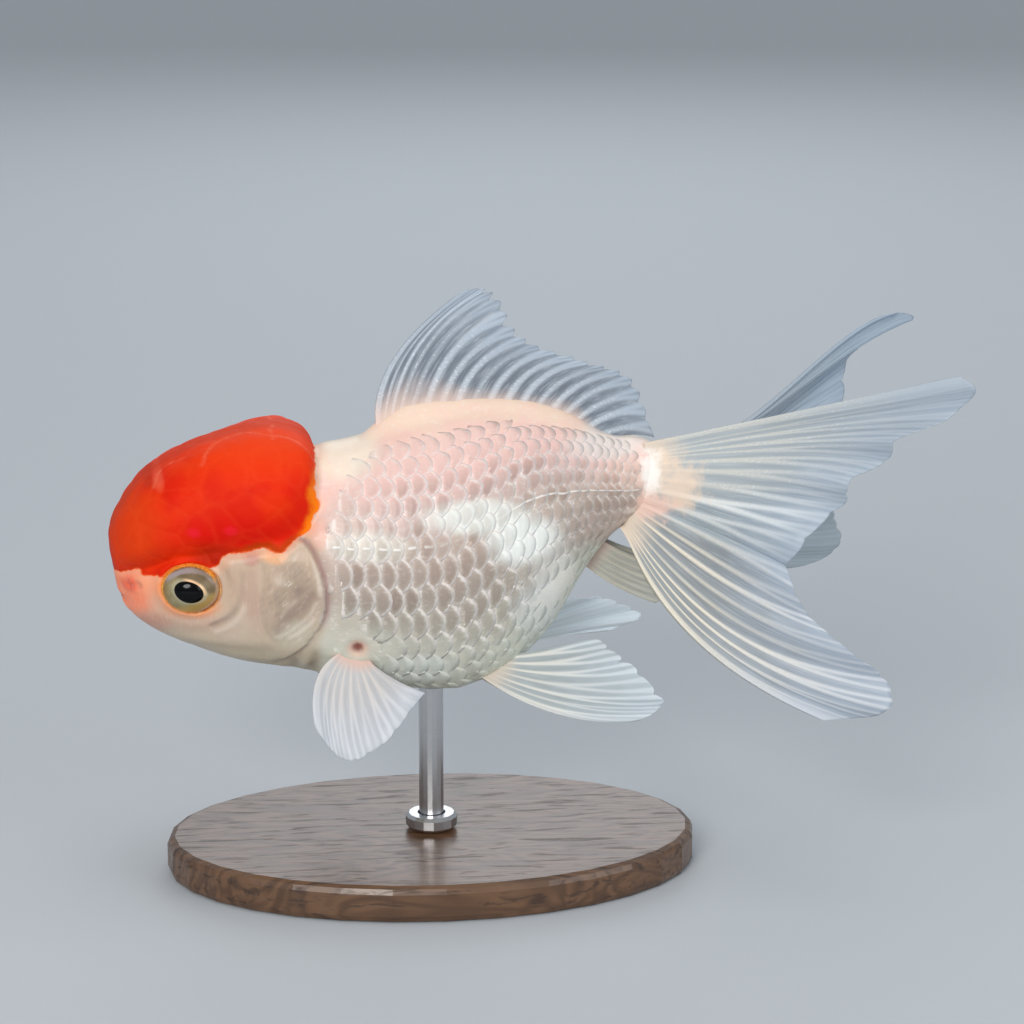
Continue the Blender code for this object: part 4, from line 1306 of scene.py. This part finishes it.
def fin_finish(name, membrane, margin, ray, ray_tip, root, foot, clearness=0.20, glints=0.0, below=None):
    """A wet membrane with fine fibres in it between pale rays, and a fleshy foot, and where asked, painted
    highlights speckled along the rays.
    """
    finish = Finish(name, coat_roughness=0.15, coat_weight=0.05, specular_ior_level=0.25)
    on_ray, out, across = (finish.attribute(key) for key in ("ray", "out", "across"))
    blur, fine = finish.noise(5.0, 3), finish.noise(0.6, 3)
    if below:  # the lower lobe's own colours, and white rays on dark membrane between the lobes
        limit, contrast, *low_tones = below
        turn = (finish.axis("Z") - 62.0) / (finish.axis("X") - 26.0) + (blur - 0.5) * 0.12
        low = finish.fall(turn, limit - 0.12, limit + 0.02)
        between = finish.rise(turn, limit - 0.04, limit + 0.08) * finish.fall(turn, 0.02, 0.16)
        between = between * finish.fall(out, 0.75, 0.95) * contrast
        membrane, margin, ray, ray_tip = (
            finish.mix(low, own, other) for own, other in zip((membrane, margin, ray, ray_tip), low_tones)
        )
        membrane = finish.mix(between, membrane, (0.27, 0.32, 0.35))
        ray = finish.mix(between, ray, (0.94, 0.95, 0.92))
        ray_tip = finish.mix(between, ray_tip, (0.72, 0.76, 0.78))
    along_rays = finish.node("ShaderNodeCombineXYZ", {}, {"X": across * 110.0, "Y": out * 5.0})
    fibres = finish.noise(1.0, 3, 0.6, along_rays)
    field = finish.mix(finish.rise(out + (blur - 0.5) * 0.4, 0.30, 1.0), membrane, margin)
    field = finish.mix(finish.rise(fibres, 0.42, 0.78) * 0.45, field, (0.66, 0.72, 0.78))
    bony = finish.mix(finish.rise(out + (blur - 0.5) * 0.3, 0.25, 0.95), ray, ray_tip)
    bony = finish.mix(finish.rise(fibres, 0.35, 0.75) * 0.35, bony, (0.72, 0.72, 0.72), "MULTIPLY")
    lit = finish.rise(on_ray, 0.10, 0.95)
    tone = finish.mix(lit * 0.85, field, bony)
    # painted highlights: small pale glints speckled along the inner half of the rays
    if glints:
        along_ray = finish.node("ShaderNodeCombineXYZ", {}, {"X": across * 60.0, "Y": out * 70.0})
        glint = finish.rise(finish.noise(1.0, 1, 0.5, along_ray), 0.54, 0.70) * finish.rise(on_ray, 0.3, 0.7)
        tone = finish.mix(glint * finish.fall(out, 0.5, 0.95) * glints, tone, (0.86, 0.90, 0.92))
    flesh = finish.fall(out + (blur - 0.5) * 0.14, foot * 0.15, foot)
    tone = finish.mix(flesh * 0.95, tone, root)
    if below:
        tone = root_marks(finish, tone)
    finish.set(base_color=tone, roughness=0.36 + fine * 0.14)
    thin = finish.rise(out, 0.15, 0.75) * (1 - lit * 0.75)
    finish.set(alpha=1 - thin * clearness)
    finish.set(normal=finish.bump(fibres * 0.7 + fine * 0.3, 0.05, 0.5))
    return finish


def build_fin(name, node, rays, side, finish, count, columns_per_ray, rows, starts, widths, thickness,
              ridge, ripple, notch, ripples=3.0, scallop=2.5, rounding=0.05, sway=0.0, lead=0.0):
    """A ribbed sheet on the rays, thick at its foot. Its leading edge is at lead, 0 or 1 across it."""
    dice = random.Random(name)
    sheet = bmesh.new()
    bmesh.ops.create_grid(sheet, x_segments=count * columns_per_ray, y_segments=rows, size=0.5)
    flat = np.array([v.co for v in sheet.verts])
    u, v = flat[:, 0] + 0.5, flat[:, 1] + 0.5
    ends = across_rays(rays, u)
    room = np.abs((u * count) % 1.0 - 0.5) * 2
    ray = ray_ridges(u, v, count, starts, widths, dice)
    edge_ray = bell(u - lead, LEADING_RAY / count)
    depth = np.array([dice.uniform(*NOTCHES) for _ in range(count + 1)])
    depth[[0, -1]] = 0.0
    leading = depth[1:4] if lead == 0 else depth[-2:-5:-1]
    leading *= LEADING_NOTCHES
    deep = depth[np.rint(u * count).astype(int)]
    stray = mottle(np.stack([u * count * 0.5, u * 0, u * 0 + side * 5], axis=1), 1.0) * np.sin(math.pi * u)
    inset = notch * deep * room ** scallop + STRAY_DEPTH * stray
    inset += rounding * np.exp(-np.abs(u - lead) * count / 0.9)
    out = v * (1 - inset * v ** 6)
    share = out[:, None]
    places = (
        ends[:, 0] * (1 - share) * (1 - 2 * share)
        + ends[:, 1] * 4 * share * (1 - share)
        + ends[:, 2] * share * (2 * share - 1)
    )
    places[:, 1] += ripple * v * v * np.sin(2 * math.pi * (ripples * u + 0.15 * stray))
    places[:, 2] -= sway * (1 - u) * v * (1 - v) * (1 - 2 * v) / SWAY_PEAK
    places[:, 1] *= side
    for vert, place in zip(sheet.verts, places):
        vert.co = place
    bmesh.ops.recalc_face_normals(sheet, faces=sheet.faces)
    fin = add_piece(name, sheet, finish)
    foot, tip = thickness
    thick = tip + (foot - tip) * np.exp(-v / FOOT_SHARE)
    thick += 2 * ridge * ray * (1 - 0.55 * v) * slope(v, 0.0, 0.2)
    thick += edge_ray * (1 - 0.6 * v) * 0.4
    thick *= 1 - MARGIN_THINNING * slope(v, 0.93, 1.0)
    most = float(thick.max())
    group = fin.vertex_groups.new(name="thickness")
    for index, weight in enumerate(thick / most):
        group.add([index], float(weight), "REPLACE")
    keep_values(fin.data, "ray", np.maximum(ray, 0.8 * edge_ray))
    keep_values(fin.data, "out", v)
    keep_values(fin.data, "across", u)
    solid = fin.modifiers.new("thickness", "SOLIDIFY")
    solid.vertex_group = "thickness"
    solid.thickness = most * MM
    solid.offset = 0.0
    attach(fin, "root")
    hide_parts(node)


dorsal_finish = fin_finish(
    "dorsal_membrane", membrane=(0.16, 0.19, 0.23), margin=(0.27, 0.32, 0.38), ray=(0.54, 0.61, 0.68),
    ray_tip=(0.46, 0.53, 0.61), root=(0.80, 0.60, 0.50), foot=0.37, glints=0.45,
)
build_fin("dorsal_fin_rays", "dorsal_fin", DORSAL_RAYS, 1, dorsal_finish, count=18, columns_per_ray=12,
          rows=64, starts=(0.55, 1.2), widths=(0.27, 0.18), thickness=(3.0, 0.30), ridge=0.15,
          ripple=0.35, ripples=2.5, notch=0.06, scallop=1.3, rounding=0.02)


# The paired fins of the belly: the pectorals hang from the shoulders behind the gill slits, the
# pelvics trail from the belly, and the two small anal fins lie under the tail stalk.

PECTORAL_RAYS = (
    ((-15.2, 11.6, 39.8), (-19.4, 16.0, 36.6), (-19.6, 20.0, 29.6)),
    ((-14.2, 11.6, 38.9), (-16.2, 17.2, 33.2), (-15.4, 21.4, 25.3)),
    ((-12.6, 11.6, 38.3), (-11.4, 17.4, 33.2), (-9.6, 21.4, 27.4)),
    ((-11.0, 11.6, 38.2), (-6.8, 16.6, 36.6), (-2.4, 18.6, 35.0)),
)
PELVIC_RAYS = {
    "left": (
        ((7.0, 5.6, 33.6), (18.6, 17.6, 30.5), (31.2, 25.6, 31.7)),
        ((8.0, 5.6, 34.2), (20.4, 17.4, 33.0), (34.2, 26.6, 34.8)),
        ((9.4, 5.8, 35.2), (19.8, 14.6, 36.4), (29.6, 21.4, 39.6)),
        ((10.6, 6.0, 36.4), (18.0, 9.8, 39.0), (25.4, 12.6, 41.2)),
    ),
    "right": (
        ((7.0, 5.6, 33.6), (20.2, 15.4, 32.8), (33.6, 22.8, 31.8)),
        ((8.0, 5.6, 34.2), (21.6, 15.6, 34.2), (37.8, 24.4, 33.8)),
        ((9.4, 5.8, 35.2), (20.2, 13.6, 36.6), (31.8, 20.6, 37.8)),
        ((10.6, 6.0, 36.4), (17.8, 10.4, 38.6), (25.2, 15.0, 40.0)),
    ),
}
ANAL_RAYS = (
    ((24.6, 1.4, 50.4), (30.0, 3.2, 46.8), (36.4, 6.0, 44.6)),
    ((25.8, 1.4, 52.2), (31.8, 3.0, 48.8), (38.4, 5.4, 47.2)),
    ((27.2, 1.3, 54.4), (33.0, 2.4, 51.6), (38.0, 3.8, 50.6)),
)

pectoral_finish = fin_finish(
    "pectoral_membrane", membrane=(0.50, 0.49, 0.49), margin=(0.56, 0.58, 0.62), ray=(0.70, 0.65, 0.61),
    ray_tip=(0.64, 0.66, 0.70), root=(0.70, 0.48, 0.40), foot=0.22,
)
pelvic_finish = fin_finish(
    "pelvic_membrane", membrane=(0.38, 0.42, 0.43), margin=(0.50, 0.57, 0.61), ray=(0.84, 0.82, 0.75),
    ray_tip=(0.68, 0.74, 0.78), root=(0.66, 0.58, 0.50), foot=0.24,
)
# painted light: the far pelvic fin hangs in shade, so it is painted far paler than the near one
far_pelvic_painted_light_finish = fin_finish(
    "far_pelvic_painted_light", membrane=(0.70, 0.80, 0.82), margin=(0.80, 0.89, 0.93), ray=(0.84, 0.90, 0.90),
    ray_tip=(0.84, 0.91, 0.95), root=(0.80, 0.80, 0.74), foot=0.16, clearness=0.05,
)
anal_finish = fin_finish(
    "anal_membrane", membrane=(0.33, 0.32, 0.27), margin=(0.42, 0.43, 0.38), ray=(0.48, 0.45, 0.36),
    ray_tip=(0.48, 0.48, 0.42), root=(0.50, 0.38, 0.32), foot=0.22,
)
for side, name in SIDES:
    build_fin(f"pectoral_{name}_rays", f"pectoral_fin_{name}", PECTORAL_RAYS, side, pectoral_finish,
              count=9, columns_per_ray=14, rows=52, starts=(0.30, 0.7), widths=(0.26, 0.10),
              thickness=(2.0, 0.28), ridge=0.10, ripple=0.4, notch=0.02, rounding=0.03)
    build_fin(f"pelvic_{name}_rays", f"pelvic_fin_{name}", PELVIC_RAYS[name], side,
              pelvic_finish if side < 0 else far_pelvic_painted_light_finish, count=7, columns_per_ray=18, rows=64,
              starts=(0.30, 0.7), widths=(0.22, 0.10), thickness=(1.8, 0.28),
              ridge=0.14 if side < 0 else 0.05, ripple=0.5, notch=0.05, rounding=0.04)
    build_fin(f"anal_{name}_rays", f"anal_fin_{name}", ANAL_RAYS, side, anal_finish,
              count=6, columns_per_ray=12, rows=40, starts=(0.4, 0.9), widths=(0.24, 0.12),
              thickness=(1.2, 0.28), ridge=0.08, ripple=0.2, notch=0.03)


# The tail: twin fins, one each side, joined at the root of the stalk. Each has an upper and a
# lower lobe whose rays fork twice and spread into long rippled margins.

TAIL_UPPER_RAYS = {
    "left": (
        ((34.6, 0.8, 70.0), (57.6, 11.6, 77.2), (81.0, 24.4, 85.4)),
        ((34.9, 1.1, 68.8), (58.0, 12.0, 75.7), (82.6, 25.4, 82.8)),
        ((34.9, 1.3, 68.0), (57.6, 12.2, 74.1), (78.2, 24.6, 78.2)),
        ((34.7, 1.4, 67.4), (56.3, 12.4, 72.3), (70.8, 22.6, 75.2)),
        ((34.4, 1.5, 66.6), (54.5, 12.5, 70.4), (69.6, 21.8, 71.0)),
        ((34.0, 1.6, 65.6), (52.2, 12.6, 68.0), (63.8, 19.8, 67.9)),
        ((33.6, 1.7, 64.4), (49.6, 12.4, 64.8), (63.6, 19.8, 64.0)),
        ((33.3, 1.8, 62.8), (47.0, 12.0, 61.2), (58.6, 18.6, 59.4)),
        ((33.0, 1.8, 61.2), (44.4, 11.0, 57.8), (54.4, 17.8, 53.9)),
    ),
    "right": (
        ((35.0, 0.9, 69.3), (57.6, 11.4, 73.8), (80.4, 24.8, 85.2)),
        ((35.0, 1.2, 68.4), (58.0, 12.0, 72.6), (83.4, 26.6, 83.6)),
        ((34.6, 1.4, 67.4), (56.8, 12.4, 71.2), (75.6, 23.2, 81.0)),
        ((34.0, 1.6, 66.0), (55.0, 12.8, 68.6), (71.6, 21.2, 78.0)),
        ((33.4, 1.8, 63.8), (52.6, 13.0, 64.4), (70.0, 20.4, 70.0)),
        ((33.0, 1.8, 61.2), (50.0, 12.2, 59.0), (65.4, 19.8, 57.4)),
    ),
}
TAIL_LOWER_RAYS = {
    "left": (
        ((33.0, 1.8, 61.2), (44.4, 11.0, 57.8), (54.4, 17.8, 53.9)),
        ((33.0, 1.9, 59.6), (45.3, 13.0, 52.2), (57.4, 21.4, 47.0)),
        ((32.6, 1.8, 58.3), (46.3, 14.9, 47.2), (63.6, 25.0, 41.9)),
        ((32.2, 1.7, 57.2), (46.6, 16.5, 42.8), (69.6, 27.8, 36.8)),
        ((31.7, 1.6, 56.4), (45.0, 17.0, 40.6), (68.4, 28.0, 32.2)),
        ((31.2, 1.5, 55.9), (40.8, 15.6, 41.2), (60.6, 26.0, 30.2)),
    ),
    "right": (
        ((33.0, 1.8, 61.2), (50.0, 12.2, 59.0), (65.4, 19.8, 57.4)),
        ((33.0, 1.9, 59.2), (51.0, 14.8, 53.6), (70.0, 24.6, 51.2)),
        ((32.4, 1.8, 57.8), (50.6, 17.0, 49.6), (72.2, 29.4, 45.6)),
        ((31.8, 1.6, 56.6), (48.4, 18.0, 46.4), (70.8, 31.0, 41.2)),
        ((31.2, 1.5, 55.9), (42.6, 16.4, 45.8), (64.2, 29.2, 39.8)),
    ),
}

tail_finishes = {
    "left": fin_finish(
        "tail_near", membrane=(0.38, 0.42, 0.44), margin=(0.38, 0.45, 0.53), ray=(0.64, 0.63, 0.57),
        ray_tip=(0.48, 0.54, 0.60), root=(0.74, 0.62, 0.50), foot=0.15, glints=0.25,
        below=(-0.28, 0.75, (0.27, 0.29, 0.30), (0.38, 0.44, 0.52), (0.92, 0.83, 0.66), (0.60, 0.63, 0.67)),
    ),
    "right": fin_finish(
        "tail_far", membrane=(0.28, 0.33, 0.37), margin=(0.31, 0.39, 0.48), ray=(0.40, 0.45, 0.50),
        ray_tip=(0.38, 0.46, 0.55), root=(0.46, 0.46, 0.42), foot=0.15,
        below=(-0.12, 0.0, (0.42, 0.48, 0.51), (0.48, 0.55, 0.59), (0.50, 0.56, 0.58), (0.52, 0.58, 0.62)),
    ),
}
for side, name in SIDES:
    far = side > 0
    build_fin(f"tail_{name}_upper_rays", f"tail_{name}_upper", TAIL_UPPER_RAYS[name], side,
              tail_finishes[name], count=10, columns_per_ray=16, rows=96,
              starts=(0.20, 0.55), widths=(0.24, 0.10), thickness=(3.2, 0.28), ridge=0.10,
              ripple=1.0, ripples=3.5, notch=0.020, rounding=0.02, sway=2.6 if far else 0.0)
    build_fin(f"tail_{name}_lower_rays", f"tail_{name}_lower", TAIL_LOWER_RAYS[name], side,
              tail_finishes[name], count=9, columns_per_ray=18, rows=96,
              starts=(0.50, 0.95), widths=(0.20, 0.11), thickness=(3.2, 0.28),
              ridge=0.05 if far else 0.22, ripple=0.6, ripples=3.0, notch=0.010 if far else 0.018,
              rounding=0.02, lead=1.0)


# The stand: a turned oval of oiled walnut, with a brushed steel rod that goes up into the belly
# and a steel collar round the rod's foot.


def walnut_finish():
    finish = Finish("oiled_walnut", coat_weight=0.25, coat_roughness=0.2)
    grain = finish.noise(1.0, 5, 0.6, finish.place((9.0, 1.2, 1.2)), 0.6)
    growth = finish.noise(1.0, 3, 0.5, finish.place((46.0, 9.0, 14.0)), 1.2)
    bands = finish.node("ShaderNodeMath", {"operation": "SINE"}, {0: growth * 55.0}) * 0.5 + 0.5
    tone = finish.mix(bands * 0.7, (0.085, 0.040, 0.018), (0.170, 0.085, 0.040))
    pores = finish.rise(grain, 0.52, 0.66)
    tone = finish.mix(pores * 0.7, tone, (0.035, 0.016, 0.008))
    finish.set(base_color=tone, roughness=0.38 + pores * 0.2)
    finish.set(normal=finish.bump(1 - pores, 0.04, 0.5))
    return finish


def steel_finish():
    finish = Finish("brushed_steel", metallic=1.0)
    lines = finish.noise(1.0, 4, 0.6, finish.place((1.2, 1.2, 0.08)))
    finish.set(base_color=finish.mix(lines, (0.50, 0.50, 0.51), (0.66, 0.66, 0.67)))
    finish.set(roughness=0.24 + lines * 0.16)
    finish.set(normal=finish.bump(lines, 0.01, 0.4))
    return finish


def dress(node, finish):
    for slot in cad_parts[node].material_slots:
        slot.material = finish.material


dress("stand_base", walnut_finish())
steel = steel_finish()
dress("stand_rod", steel)
dress("stand_collar", steel)
